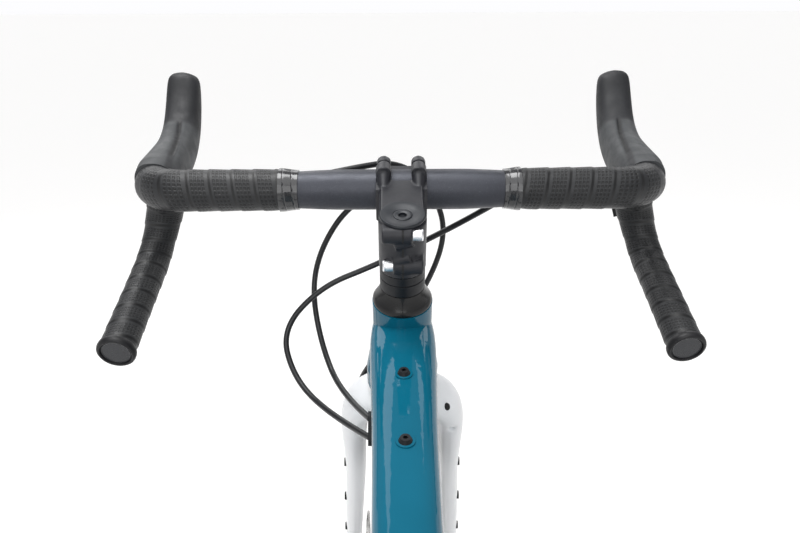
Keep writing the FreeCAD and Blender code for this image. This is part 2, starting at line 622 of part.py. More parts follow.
front_left = flange_faces(front_hub_left, S.hub_cap_length + S.front_boss_length)
front_right = flange_faces(front_hub_left, S.front_spacing - S.front_right_cap - S.flange_thickness)
rear_left = flange_faces(rear_hub_left, S.rear_cap_length + S.rear_boss_length)
rear_right = flange_faces(rear_hub_left, S.rear_barrel_end + S.hub_barrel_taper)
spokes("front_spokes", front_axle, [front_right, front_left[::-1]], S.front_flange_radius)
spokes("rear_spokes", rear_axle, [rear_right, rear_left[::-1]], S.rear_flange_radius)
for end, axle in (("front", front_axle), ("rear", rear_axle)):
    tyre(end + "_tyre", axle)
    rim(end + "_rim", axle)
front_rotor_mid = front_axle - RIGHT * (S.front_spacing / 2 - S.front_rotor_inset)
rear_rotor_mid = rear_axle - RIGHT * (S.rear_spacing / 2 - S.rear_rotor_inset)
rotor("front_rotor", front_rotor_mid)
rotor("rear_rotor", rear_rotor_mid)


# Toothed sprockets and the chain, laid out in the chain's plane
def polar(centre, radius, angle):
    """A point round a centre in the plane of the wheels."""
    return centre + V(0, math.cos(angle), math.sin(angle)) * radius


def sprocket_face(centre, teeth, phase):
    """A toothed outline whose gaps each seat a chain roller."""
    pins = pitch_radius(teeth)
    seat_radius = S.roller_radius + S.roller_play
    tip_radius = pins + S.tooth_height
    tip_angle = S.tooth_tip_half / tip_radius
    opening = math.radians(S.tooth_opening)
    step = math.tau / teeth
    edges = []
    for i in range(teeth):
        angle = phase + step * i
        pin = polar(centre, pins, angle)
        start = polar(pin, seat_radius, angle + math.pi + opening)
        deep = polar(pin, seat_radius, angle + math.pi)
        stop = polar(pin, seat_radius, angle + math.pi - opening)
        tip = polar(centre, tip_radius, angle + step / 2 - tip_angle)
        tip_end = polar(centre, tip_radius, angle + step / 2 + tip_angle)
        next_pin = polar(centre, pins, angle + step)
        following = polar(next_pin, seat_radius, angle + step + math.pi + opening)
        edges.append(Part.Arc(start, deep, stop).toShape())
        for a, b in ((stop, tip), (tip, tip_end), (tip_end, following)):
            edges.append(Part.LineSegment(a, b).toShape())
    return Part.Face(Part.Wire(edges))


def sprocket(centre, teeth, phase, thickness, hole):
    """A toothed plate with a round hole, its middle plane at the centre."""
    plate = sprocket_face(centre, teeth, phase).extrude(RIGHT * thickness)
    plate.translate(RIGHT * (-thickness / 2))
    return plate.cut(drum(centre, RIGHT, hole, thickness * 2))


ring_centre = bracket + RIGHT * S.chain_line
cog_centre = rear_axle + RIGHT * S.chain_line
guide_centre = cog_centre + V(0, S.guide_ahead, -S.guide_drop)
ring_pins = pitch_radius(S.ring_teeth)
cog_pins = pitch_radius(S.cog_teeth)
pulley_pins = pitch_radius(S.pulley_teeth)


def tangent_run(first, first_radius, first_hand, last, last_radius, last_hand):
    """The straight chain run between two wheels: its angle, start and length."""
    gap = last - first
    lean = math.asin((last_hand * last_radius - first_hand * first_radius) / gap.Length)
    angle = math.atan2(gap.z, gap.y) + lean
    return angle, gap.Length * math.cos(lean)


def chain_route(cage_angle):
    """Runs and wraps of the chain in order of travel, each with its length in pitches."""
    tension_centre = polar(guide_centre, S.cage_length, cage_angle)
    wheels = [
        (ring_centre, ring_pins, S.ring_teeth, 1),
        (tension_centre, pulley_pins, S.pulley_teeth, 1),
        (guide_centre, pulley_pins, S.pulley_teeth, -1),
        (cog_centre, cog_pins, S.cog_teeth, 1),
    ]
    runs = []
    for i in range(len(wheels)):
        first = wheels[i - 1]
        last = wheels[i]
        runs.append(tangent_run(first[0], first[1], first[3], last[0], last[1], last[3]))
    route = []
    for i, (centre, radius, teeth, hand) in enumerate(wheels):
        angle, length = runs[i]
        away = runs[(i + 1) % len(runs)][0]
        start = polar(wheels[i - 1][0], wheels[i - 1][1] * wheels[i - 1][3], angle + math.pi / 2)
        route.append(("run", start, angle, length / S.chain_pitch))
        turn = (hand * (angle - away)) % math.tau
        route.append(("wrap", (centre, radius, teeth, hand), angle, turn * teeth / math.tau))
    return route


def route_pitches(cage_angle):
    """Length of the whole chain in pitches."""
    return sum(piece[3] for piece in chain_route(cage_angle))


def solve_cage(pitches, low, high):
    """The cage angle at which the chain closes on a whole number of pitches."""
    rising = route_pitches(high) > route_pitches(low)
    halvings = 60
    for _ in range(halvings):
        middle = (low + high) / 2
        if (route_pitches(middle) < pitches) == rising:
            low = middle
        else:
            high = middle
    return (low + high) / 2


cage_back_share = 0.71
cage_ahead_share = 0.12
cage_rest_share = 0.55
low_angle = -math.pi * cage_back_share
high_angle = -math.pi * cage_ahead_share
spread = sorted((route_pitches(low_angle), route_pitches(high_angle)))
link_count = 2 * round((spread[0] + (spread[1] - spread[0]) * cage_rest_share) / 2)
cage_angle = solve_cage(link_count, low_angle, high_angle)
tension_centre = polar(guide_centre, S.cage_length, cage_angle)
CAGE_WAY = (tension_centre - guide_centre).normalize()


def chain_pin(route, place):
    """The pin at a whole number of pitches along the route, and the wheel it sits on."""
    for kind, where, angle, length in route:
        if place > length:
            place -= length
            continue
        if kind == "run":
            return where + V(0, math.cos(angle), math.sin(angle)) * (place * S.chain_pitch), None
        centre, radius, teeth, hand = where
        round_angle = angle + hand * math.pi / 2 - hand * place * math.tau / teeth
        return polar(centre, radius, round_angle), (centre, round_angle)
    return route[0][1], None


route = chain_route(cage_angle)
pins = []
phases = {}
for i in range(link_count):
    spot, engaged = chain_pin(route, i + S.pin_play / S.chain_pitch / link_count)
    pins.append(spot)
    if engaged:
        key = tuple(round(value) for value in engaged[0])
        phases.setdefault(key, engaged[1])


def phase_of(centre):
    """Angle of a tooth gap that lines up with the chain."""
    return phases[tuple(round(value) for value in centre)]


def link_plates(gap):
    """A pair of waisted chain plates, one pitch long from the origin along Y."""
    end = V(0, S.chain_pitch, 0)
    plates = []
    for hand in (-1, 1):
        middle = RIGHT * (hand * (gap + S.plate_thickness / 2))
        bar = block_shape(middle + end / 2, S.plate_thickness, S.chain_pitch, 2 * S.plate_waist)
        for spot in (V(0, 0, 0), end):
            bar = bar.fuse(drum(spot + middle, RIGHT, S.plate_half_height, S.plate_thickness))
        plates.append(bar)
    return plates


def block_shape(centre, length, width, height):
    """A block with its middle at the given point, for cutting and joining."""
    return Part.makeBox(length, width, height, centre - V(length, width, height) / 2)


def inner_link():
    """Two plates on a pair of rollers, bored for the pins."""
    end = V(0, S.chain_pitch, 0)
    link = link_plates(S.inner_plate_gap)
    rollers = [drum(spot, RIGHT, S.roller_radius, 2 * S.inner_plate_gap) for spot in (V(0, 0, 0), end)]
    whole = link[0].fuse(link[1:] + rollers)
    hole = S.pin_radius + S.pin_play
    width = 4 * S.outer_plate_gap
    return whole.cut([drum(spot, RIGHT, hole, width) for spot in (V(0, 0, 0), end)])


def outer_link():
    """Two plates riveted by a pair of pins."""
    end = V(0, S.chain_pitch, 0)
    link = link_plates(S.outer_plate_gap)
    width = 2 * (S.outer_plate_gap + S.plate_thickness)
    rivets = [drum(spot, RIGHT, S.pin_radius, width) for spot in (V(0, 0, 0), end)]
    return link[0].fuse(link[1:] + rivets)


links = []
patterns = (inner_link(), outer_link())
for i, start in enumerate(pins):
    end = pins[(i + 1) % link_count]
    angle = math.atan2(end.z - start.z, end.y - start.y)
    link = patterns[i % 2].copy()
    link.Placement = FreeCAD.Placement(start, FreeCAD.Rotation(RIGHT, math.degrees(angle)))
    links.append(link)
nodes["chain"] = shaped("chain", Part.makeCompound(links))

# Cassette: cogs with spacers on a freehub body, smallest cog outermost
COG_TEETH = (11, 13, 15, 17, 19, 21, 24, 28, 32, 37, 42)
window_size_share = 0.75
cassette = []
driven = COG_TEETH.index(int(S.cog_teeth))
for i, teeth in enumerate(COG_TEETH):
    centre = cog_centre + RIGHT * ((driven - i) * S.cog_spacing)
    cog = sprocket(centre, teeth, phase_of(cog_centre), S.cog_thickness, S.freehub_radius)
    rim_radius = pitch_radius(teeth) - S.roller_radius - S.cog_window_rim
    window = (rim_radius - S.freehub_radius - S.cog_window_rim) / 2
    if window > S.cog_window_rim / 2:
        count = int(max(S.cog_window_count, teeth // S.teeth_per_window))
        middle = (rim_radius + S.freehub_radius + S.cog_window_rim) / 2
        size = min(window, middle * math.pi / count * window_size_share)
        spots = [polar(centre, middle, math.tau * k / count) for k in range(count)]
        cog = cog.cut([drum(spot, RIGHT, size, S.cog_spacing) for spot in spots])
    cassette.append(shaped("cog_%d" % teeth, cog))
    if i:
        base = centre + RIGHT * (S.cog_thickness / 2)
        spacer_sizes = ("cog_spacer_radius", "freehub_radius", "cog_spacing-cog_thickness")
        cassette.append(ring("cog_spacer_%d" % i, *spacer_sizes, base, ACROSS))
freehub_base = rear_axle + RIGHT * S.freehub_start
freehub_sizes = ("freehub_radius", "hub_axle_radius+freehub_fit", "freehub_end-freehub_start")
cassette.append(ring("freehub", *freehub_sizes, freehub_base, ACROSS))
lock_base = cog_centre + RIGHT * (driven * S.cog_spacing + S.cog_thickness / 2)
lock_sizes = ("cog_lock_radius", "freehub_radius", "cog_lock_length")
cassette.append(ring("cassette_lock", *lock_sizes, lock_base, ACROSS))
nodes["cassette"] = group("cassette", cassette)

# Frame tubes, each mitred to the tubes that it meets
SHELL_LEFT = bracket - RIGHT * (S.shell_width / 2)
TOP_WAY = V(0, -math.cos(math.radians(S.top_tube_slope)), -math.sin(math.radians(S.top_tube_slope)))
TOP_UP = TOP_WAY.cross(RIGHT).normalize()
top_start = head_top - STEER_UP * S.top_tube_drop
down_start = head_low + STEER_UP * S.down_tube_rise
DOWN_WAY = (bracket - down_start).normalize()
DOWN_UP = DOWN_WAY.cross(RIGHT).normalize()

nodes["head_tube"] = turned("head_tube", [
    ("lower_bearing_radius", "0"),
    ("head_low_radius", "0"),
    ("head_low_radius", "head_low_length"),
    ("head_top_radius", "head_taper_end"),
    ("head_top_radius", "head_tube_length"),
    ("upper_bearing_radius", "head_tube_length"),
    ("upper_bearing_radius", "head_tube_length-bearing_depth"),
    ("head_bore_top", "head_tube_length-bearing_depth"),
    ("head_bore_top", "head_taper_end"),
    ("head_bore_low", "head_low_length"),
    ("head_bore_low", "bearing_depth"),
    ("lower_bearing_radius", "bearing_depth"),
], head_low, STEER)


def head_core():
    """The head tube's outside as a solid, for mitring the tubes that meet it."""
    taper = S.head_taper_end - S.head_low_length
    low = Part.makeCylinder(S.head_low_radius, S.head_low_length, head_low, STEER_UP)
    taper_base = head_low + STEER_UP * S.head_low_length
    middle = Part.makeCone(S.head_low_radius, S.head_top_radius, taper, taper_base, STEER_UP)
    rest = S.head_tube_length - S.head_taper_end
    top = Part.makeCylinder(S.head_top_radius, rest, head_low + STEER_UP * S.head_taper_end, STEER_UP)
    return low.fuse([middle, top])


seat_core = Part.makeCylinder(S.seat_tube_radius, S.seat_tube_length, bracket, SEAT_UP)
shell_core = Part.makeCylinder(S.shell_radius, S.shell_width, SHELL_LEFT, RIGHT)

# The seat tube's axis meets the top tube's axis here
seat_meet = (top_start - bracket).cross(TOP_WAY).x / SEAT_UP.cross(TOP_WAY).x
top_length = (bracket + SEAT_UP * seat_meet - top_start).Length
TOP_STATIONS = (
    (0, S.top_head_width, S.top_front_height),
    (S.top_lug_place, S.top_front_width, S.top_front_height),
    (S.top_neck_place, S.top_neck_width, S.top_front_height),
    (S.top_waist_place, S.top_waist_width, S.top_waist_height),
    (top_length, S.top_rear_width, S.top_rear_height),
)


def tube_loft(start, way, upward, stations, wall, fullness):
    """A tube lofted through (place along, width, height) stations, less the wall."""
    wires = []
    for along, width, height in even_rows(stations, limb_steps * (len(stations) - 1) + 1):
        centre = start + way * along
        wires.append(section(centre, RIGHT, upward, width / 2 - wall, height / 2 - wall, fullness))
    return loft(wires)


top_core = tube_loft(top_start, TOP_WAY, TOP_UP, TOP_STATIONS, 0, S.tube_fullness)
top_hollow = tube_loft(top_start, TOP_WAY, TOP_UP, TOP_STATIONS, S.tube_wall, S.tube_fullness)
down_length = (bracket - down_start).Length
DOWN_STATIONS = (
    (0, S.down_front_width, S.down_front_height),
    (down_length, S.down_rear_width, S.down_rear_height),
)
down_core = tube_loft(down_start, DOWN_WAY, DOWN_UP, DOWN_STATIONS, 0, S.tube_fullness)
down_hollow = tube_loft(down_start, DOWN_WAY, DOWN_UP, DOWN_STATIONS, S.tube_wall, S.tube_fullness)


def tube_bolt(name, foot, outward):
    """A button-head bolt with a hexagon socket, its shank sunk below the foot."""
    turn = FreeCAD.Rotation(UP, outward)
    tail = foot - outward * S.bolt_shank_length
    shank = rod(name + "_shank", "bolt_shank", "bolt_shank_length", tail, turn)
    button = cone(name + "_button", "boss_bolt_radius", "boss_bolt_top", "boss_bolt_height", foot, turn)
    socket = doc.addObject("Part::Prism", name + "_socket")
    socket.Polygon = 6
    socket.setExpression("Circumradius", bound("bolt_socket"))
    socket.setExpression("Height", bound("bolt_socket_depth"))
    depth = S.boss_bolt_height - S.bolt_socket_depth
    socket.Placement = FreeCAD.Placement(foot + outward * depth, turn)
    return cut(name, fuse(name + "_body", [shank, button]), socket)


def tube_surface(core, spot, outward, reach):
    """Where a line from a spot inside a tube leaves its outside."""
    ray = Part.LineSegment(spot, spot + outward * reach).toShape()
    inside = core.common(ray)
    return max((vertex.Point for vertex in inside.Vertexes), key=lambda point: (point - spot).dot(outward))


boss_feet = []
for i in range(2):
    spot = top_start + TOP_WAY * (S.boss_first + S.boss_spacing * i)
    boss_feet.append(tube_surface(top_core, spot, TOP_UP, S.top_front_height))
bosses = [drum(foot, TOP_UP, S.boss_radius, 2 * S.boss_stand) for foot in boss_feet]
boss_tops = [foot + TOP_UP * S.boss_stand for foot in boss_feet]
boss_holes = [drum(foot, TOP_UP, S.bolt_shank, 2 * S.bolt_shank_length) for foot in boss_feet]
top_shell = top_core.cut(top_hollow).fuse(bosses).cut([head_core(), seat_core] + boss_holes)
nodes["top_tube"] = shaped("top_tube", top_shell)
down_shell = down_core.cut(down_hollow).cut([head_core(), seat_core, shell_core, top_core])
nodes["down_tube"] = shaped("down_tube", max(down_shell.Solids, key=lambda solid: solid.Volume))
seat_turn = FreeCAD.Rotation(UP, SEAT_UP)
seat_sizes = ("seat_tube_radius", "post_radius+post_fit", "seat_tube_length")
seat_stock = ring("seat_stock", *seat_sizes, bracket, seat_turn)
shell_stock = rod("shell_stock", "shell_radius", "shell_width", SHELL_LEFT, ACROSS)
nodes["seat_tube"] = cut("seat_tube", seat_stock, shell_stock)
shell_sizes = ("shell_radius", "shell_bore", "shell_width")
nodes["bottom_bracket_shell"] = ring("bottom_bracket_shell", *shell_sizes, SHELL_LEFT, ACROSS)

# Cable port on the left of the down tube
PORT_OUT = V(-1, 0, 0)
port_mid = tube_surface(down_core, down_start + DOWN_WAY * S.port_along, PORT_OUT, S.down_front_width)
port_half = DOWN_WAY * ((S.port_length - S.port_width) / 2)
port_end = S.port_width / 2
port_top = port_mid - port_half
port_low = port_mid + port_half
port_plate = stadium(port_top, port_end, port_low, port_end, PORT_OUT, 2 * S.port_stand)

# Rear dropouts with rack eyelets and the derailleur hanger
hanger_bolt = rear_axle + V(0, -S.hanger_back, -S.hanger_drop)
stay_spread = S.rear_spacing / 2 + S.dropout_thickness / 2
dropouts = []
dropout_cores = []
for side in (-1, 1):
    middle = rear_axle + RIGHT * (side * stay_spread)
    eyelet = middle + V(0, -S.eyelet_back, S.eyelet_rise)
    core = drum(middle, RIGHT, S.dropout_radius, S.dropout_thickness)
    tab = stadium(middle, S.eyelet_root, eyelet, S.eyelet_radius, RIGHT, S.dropout_thickness)
    axle_hole = drum(middle, RIGHT, S.axle_radius, 2 * S.dropout_thickness)
    rack_hole = drum(eyelet, RIGHT, S.eyelet_hole, 2 * S.dropout_thickness)
    dropouts.append(core.fuse(tab).cut([axle_hole, rack_hole]))
    dropout_cores.append(core.fuse(tab))
hanger_mid = hanger_bolt + RIGHT * stay_spread
hanger_top = rear_axle + RIGHT * stay_spread
hanger = stadium(hanger_top, S.hanger_root, hanger_mid, S.hanger_radius, RIGHT, S.dropout_thickness)
hanger_thread = drum(hanger_mid, RIGHT, S.hanger_hole, 2 * S.dropout_thickness)
dropouts.append(hanger.cut([dropout_cores[1], hanger_thread]))
nodes["rear_dropouts"] = shaped("rear_dropouts", Part.makeCompound(dropouts))

# Chain stays and seat stays: (run, spread, half width, half height) shares of each stay's sizes
CHAIN_STAY_SHARES = (
    (0.02, 0.30, 0.95, 1.0),
    (0.14, 0.393, 0.85, 0.88),
    (0.25, 0.44, 0.85, 0.85),
    (0.42, 0.60, 0.95, 0.78),
    (0.70, 0.84, 0.95, 0.68),
    (0.966, 1.0, 0.75, 0.6),
)
SEAT_STAY_SHARES = (
    (0.02, 0.187, 1.0, 1.0),
    (0.10, 0.30, 1.0, 1.0),
    (0.19, 0.42, 1.0, 1.0),
    (0.32, 0.50, 0.95, 0.95),
    (0.62, 0.74, 0.9, 0.9),
    (0.966, 1.0, 0.85, 0.85),
)


def stay(side, start, shares, half_width, half_height):
    """One stay lofted from the main frame to the rear axle."""
    stations = []
    for run, spread_share, width_share, height_share in shares:
        centre = start + (rear_axle - start) * run + RIGHT * (side * stay_spread * spread_share)
        stations.append((centre, half_width * width_share, half_height * height_share))
    return limb(stations, RIGHT)


stay_start = bracket + SEAT_UP * (S.seat_tube_length - S.seat_stay_drop)
chain_stays = []
seat_stays = []
for side, core in zip((-1, 1), dropout_cores):
    low = stay(side, bracket, CHAIN_STAY_SHARES, S.chain_stay_half_width, S.chain_stay_half_height)
    cuts = [core, shell_core, seat_core, down_core]
    low = low.cut(cuts + ([hanger] if side > 0 else []))
    chain_stays.append(max(low.Solids, key=lambda solid: solid.Volume))
    high = stay(side, stay_start, SEAT_STAY_SHARES, S.seat_stay_half_width, S.seat_stay_half_depth)
    high = high.cut([core, seat_core])
    seat_stays.append(max(high.Solids, key=lambda solid: solid.Volume))
nodes["chain_stays"] = shaped("chain_stays", Part.makeCompound(chain_stays))
nodes["seat_stays"] = shaped("seat_stays", Part.makeCompound(seat_stays))

# Bearings pressed into the head tube and the bottom bracket shell
upper_base = head_top - STEER_UP * S.bearing_depth
upper_sizes = ("upper_bearing_radius", "steerer_radius+bearing_fit", "bearing_depth")
lower_sizes = ("lower_bearing_radius", "steerer_base_radius+bearing_fit", "bearing_depth")
bearings = [
    ring("upper_bearing", *upper_sizes, upper_base, STEER),
    ring("lower_bearing", *lower_sizes, head_low, STEER),
]
cup_outline = [
    ("spindle_radius+spindle_fit", "0"),
    ("shell_bore", "0"),
    ("shell_bore", "cup_depth"),
    ("cup_radius", "cup_depth"),
    ("cup_radius", "cup_depth+cup_flange"),
    ("spindle_radius+spindle_fit", "cup_depth+cup_flange"),
]
for name, side, turn in (("right_cup", 1, ACROSS), ("left_cup", -1, FreeCAD.Rotation(UP, V(-1, 0, 0)))):
    cup_base = bracket + RIGHT * (side * (S.shell_width / 2 - S.cup_depth))
    bearings.append(turned(name, cup_outline, cup_base, turn))
nodes["frame_bearings"] = group("frame_bearings", bearings)

# Through axles with a round head on the left
front_far = S.front_spacing / 2 + S.fork_foot_thickness
rear_far = S.rear_spacing / 2 + S.dropout_thickness
for name, axle, far, reach in (
    ("front_thru_axle", front_axle, front_far, "front_spacing/2+fork_foot_thickness"),
    ("rear_thru_axle", rear_axle, rear_far, "rear_spacing/2+dropout_thickness"),
):
    base = axle - RIGHT * far
    shaft = rod(name + "_shaft", "axle_radius", "2*(" + reach + ")", base, ACROSS)
    head_base = base - RIGHT * S.axle_head_length
    cap = rod(name + "_head", "axle_head_radius", "axle_head_length", head_base, ACROSS)
    nodes[name] = fuse(name, [shaft, cap])

# Seat clamp, seatpost and saddle
clamp_base = seat_tube_top + SEAT_UP * (S.clamp_drop - S.clamp_height)
SEAT_BACK = RIGHT.cross(SEAT_UP).normalize()
collar = rod("collar", "clamp_radius", "clamp_height", clamp_base, seat_turn)
lug_mid = clamp_base + SEAT_UP * (S.clamp_height / 2) + SEAT_BACK * S.clamp_radius
lug = block("collar_lug", ("2*clamp_lug", "clamp_lug_depth", "clamp_height"), lug_mid, seat_turn)
collar_bore = rod("collar_bore", "seat_tube_radius", "clamp_height", clamp_base, seat_turn)
slit_mid = clamp_base + SEAT_UP * (S.clamp_height / 2) + SEAT_BACK * S.clamp_radius
slit = block("collar_slit", ("clamp_slit", "clamp_radius", "clamp_height"), slit_mid, seat_turn)
bolt_mid = lug_mid + SEAT_BACK * S.clamp_bolt_back
clamp_hole = rod("collar_hole", "clamp_bolt_radius", "2*clamp_lug", bolt_mid - RIGHT * S.clamp_lug, ACROSS)
collar_tools = fuse("collar_tools", [collar_bore, slit, clamp_hole])
seat_collar = cut("seat_collar", fuse("collar_stock", [collar, lug]), collar_tools)
bolt_start = bolt_mid - RIGHT * (S.clamp_bolt_length / 2)
clamp_bolt = rod("clamp_bolt", "clamp_bolt_radius", "clamp_bolt_length", bolt_start, ACROSS)
nodes["seat_clamp"] = group("seat_clamp", [seat_collar, clamp_bolt])

rail_level = S.saddle_height - S.rail_drop
cradle_mid = bracket + SEAT_UP * ((rail_level - S.cradle_drop - bracket.z) / SEAT_UP.z)
post_base = seat_tube_top - SEAT_UP * S.post_insert
post_length = (cradle_mid - post_base).Length
post_outer = Part.makeCylinder(S.post_radius, post_length, post_base, SEAT_UP)
post_inner = Part.makeCylinder(S.post_radius - S.post_wall, post_length, post_base, SEAT_UP)
cradle_core = drum(cradle_mid, RIGHT, S.cradle_radius, S.cradle_width)
clamp_bolts = []
for step in (-1, 1):
    foot = V(0, cradle_mid.y + step * S.cradle_bolt_place, rail_level)
    clamp_bolts.append(drum(foot, UP, S.clamp_bolt_radius, 2 * S.cradle_radius))
nodes["seatpost"] = shaped("seatpost", post_outer.cut([post_inner, cradle_core] + clamp_bolts))
saddle_mid = V(0, cradle_mid.y - S.saddle_shift, S.saddle_height)


def rail(side):
    """One rail: straight through the clamp, bent up into the shell at both ends."""
    middle = V(side * S.rail_half, cradle_mid.y, rail_level)
    half = S.rail_length / 2
    lift = S.rail_drop - S.rail_seat_depth
    points = [
        middle + V(-side * S.rail_spread, S.rail_nose_reach, lift),
        middle + V(0, half, 0),
        middle + V(0, -half, 0),
        middle + V(side * S.rail_spread, -S.rail_tail_reach, lift),
    ]
    return pipe(rounded_path(points, [S.rail_bend] * 2), S.rail_radius)


rails = [rail(side) for side in (-1, 1)]
nodes["saddle_rails"] = shaped("saddle_rails", Part.makeCompound(rails))
plate_mid = V(0, cradle_mid.y, rail_level + S.plate_lift + S.cradle_plate / 2)
upper_plate = block_shape(plate_mid, S.cradle_width, S.plate_length, S.cradle_plate)
lower_cradle = cradle_core.cut(rails + clamp_bolts)
upper_cradle = upper_plate.cut(rails + clamp_bolts + [cradle_core])
nodes["saddle_clamp"] = shaped("saddle_clamp", Part.makeCompound([lower_cradle, upper_cradle] + clamp_bolts))

# Saddle: (place from the middle, half width, depth) shares from tail to nose
SADDLE_SHARES = (
    (-0.50, 0.62, 0.55),
    (-0.45, 0.90, 0.85),
    (-0.30, 1.00, 1.0),
    (-0.10, 0.80, 1.0),
    (0.10, 0.45, 1.0),
    (0.30, 0.30, 0.98),
    (0.46, 0.25, 0.85),
    (0.50, 0.16, 0.6),
)
saddle_wires = []
for place, width_share, depth_share in even_rows(SADDLE_SHARES, limb_steps * len(SADDLE_SHARES)):
    depth = S.saddle_depth * depth_share
    centre = saddle_mid + V(0, place * S.saddle_length, -depth / 2)
    half = S.saddle_half_width * width_share
    saddle_wires.append(section(centre, RIGHT, UP, half, depth / 2, S.saddle_fullness))
saddle_shape = loft(saddle_wires).cut(rails + [upper_cradle] + clamp_bolts)
nodes["saddle"] = shaped("saddle", max(saddle_shape.Solids, key=lambda solid: solid.Volume))

# Fork: (spread, drop, depth, thickness) shares of one leg from the crown's middle to the axle
FORK_SHARES = (
    (0.0, 0.031, 1.0, 1.0),
    (0.36, 0.036, 1.0, 0.96),
    (0.62, 0.064, 0.97, 0.88),
    (0.745, 0.13, 0.88, 0.76),
    (0.772, 0.314, 0.74, 0.61),
    (0.832, 0.477, 0.66, 0.58),
    (0.93, 0.75, 0.54, 0.5),
    (1.0, 0.985, 0.46, 0.41),
)
fork_spread = S.front_spacing / 2 + S.fork_foot_thickness / 2


def fork_station(side, shares):
    """One station of the fork's arch: its centre, half depth and half thickness."""
    spread_share, drop_share, depth_share, thick_share = shares
    drop = S.fork_length * drop_share
    centre = crown_seat - STEER_UP * drop + STEER_AHEAD * (S.fork_rake * drop_share)
    centre = centre + RIGHT * (side * fork_spread * spread_share)
    return centre, S.fork_crown_depth * depth_share, S.fork_crown_half * thick_share


def leg_spot(side, drop):
    """A leg's centre and half thickness at a drop below the crown, between its stations."""
    share = drop / S.fork_length
    for upper, lower in zip(FORK_SHARES, FORK_SHARES[1:]):
        if upper[1] <= share <= lower[1]:
            part = (share - upper[1]) / (lower[1] - upper[1])
            mixed = [a + (b - a) * part for a, b in zip(upper, lower)]
            return fork_station(side, mixed)


arch_stations = [fork_station(-1, shares) for shares in reversed(FORK_SHARES[1:])]
arch_stations += [fork_station(1, shares) for shares in FORK_SHARES]
fork_arch = limb(arch_stations, STEER_AHEAD)
steerer_height = S.lower_stack + S.head_tube_length + S.cover_height + S.lower_spacer + S.upper_spacer
steerer_height = steerer_height + S.stem_clamp_height - S.steerer_shy


def steerer_stock():
    """The tapered steerer with the crown race at its foot."""
    low = S.lower_stack + S.head_low_length
    taper = S.head_taper_end - S.head_low_length
    foot = Part.makeCylinder(S.steerer_base_radius, low, crown_seat, STEER_UP)
    taper_base = crown_seat + STEER_UP * low
    middle = Part.makeCone(S.steerer_base_radius, S.steerer_radius, taper, taper_base, STEER_UP)
    rest = steerer_height - low - taper
    top = Part.makeCylinder(S.steerer_radius, rest, crown_seat + STEER_UP * (low + taper), STEER_UP)
    race_base = crown_seat + STEER_UP * (S.lower_stack - S.headset_gap - S.crown_race_height)
    race = Part.makeCylinder(S.crown_race_radius, S.crown_race_height, race_base, STEER_UP)
    return foot.fuse([middle, top, race])


steerer_hollow = Part.makeCylinder(S.steerer_radius - S.steerer_wall, steerer_height, crown_seat, STEER_UP)
fork_feet = []
axle_holes = []
for side in (-1, 1):
    foot_mid = front_axle + RIGHT * (side * fork_spread)
    fork_feet.append(drum(foot_mid, RIGHT, S.fork_foot_radius, S.fork_foot_thickness))
    axle_holes.append(drum(foot_mid, RIGHT, S.axle_radius, 2 * S.fork_foot_thickness))

# Bolts down the outside of each fork leg, sunk in round seats
fork_bolts = []
for side in (-1, 1):
    for i in range(int(S.fork_bolt_count)):
        centre, depth, thick = leg_spot(side, S.fork_bolt_first + S.fork_bolt_spacing * i)
        face = centre + RIGHT * (side * thick)
        seat_foot = face - RIGHT * (side * S.fork_bolt_seat)
        reach = S.fork_bolt_seat + S.fork_bolt_height
        fork_bolts.append(Part.makeCylinder(S.fork_bolt_radius, reach, seat_foot, RIGHT * side))
nodes["fork_bolts"] = shaped("fork_bolts", Part.makeCompound(fork_bolts))

# Hoses and housing: points along each route, chosen by hand
port_mouth = port_mid + PORT_OUT * (S.port_stand / 2)
REAR_HOSE_ROUTE = [
    V(83, 372, 866), V(42, 388, 868), V(0, 400, 862), V(-44, 404, 838), V(-70, 412, 798), V(-80, 410, 758),
    V(-70, 380, 716), V(-50, 332, 694), port_mouth - DOWN_WAY * S.port_hole_offset,
]
SHIFT_HOUSING_ROUTE = [
    V(83, 371, 850), V(54, 386, 828), V(21, 388, 810), V(-22, 392, 787), V(-70, 390, 768), V(-104, 378, 733),
    V(-92, 352, 700), V(-60, 318, 684), port_mouth + DOWN_WAY * S.port_hole_offset,
]
FRONT_HOSE_ROUTE = [
    V(-83, 372, 866), V(-45, 382, 873), V(2, 403, 876), V(32, 417, 840), V(40, 417, 806), V(26, 412, 766),
    V(0, 404, 728), V(-26, 386, 699), V(-38, 360, 690), V(-39, 346, 678),
]


def hose(name, points):
    """A round hose of straight runs joined by wide tangent arcs; its length, radii and volume are printed."""
    bends = easy_bends(points)
    path = rounded_path(points, bends)
    body = pipe(path, S.hose_radius)
    even = math.pi * S.hose_radius**2 * path.Length
    radii = " ".join("%.0f" % bend for bend in bends)
    facts = (name, path.Length, radii, body.Volume / even)
    print("%s: length %.1f, radii %s, volume to section times length %.4f" % facts)
    return body


def hose_room(points):
    """The space round a hose, from just before its start, that the pieces it passes leave free."""
    back = (points[0] - points[1]).normalize()
    roomy = [points[0] + back * S.hose_gap] + points[1:]
    return pipe(rounded_path(roomy, easy_bends(points)), S.hose_radius + S.hose_gap)


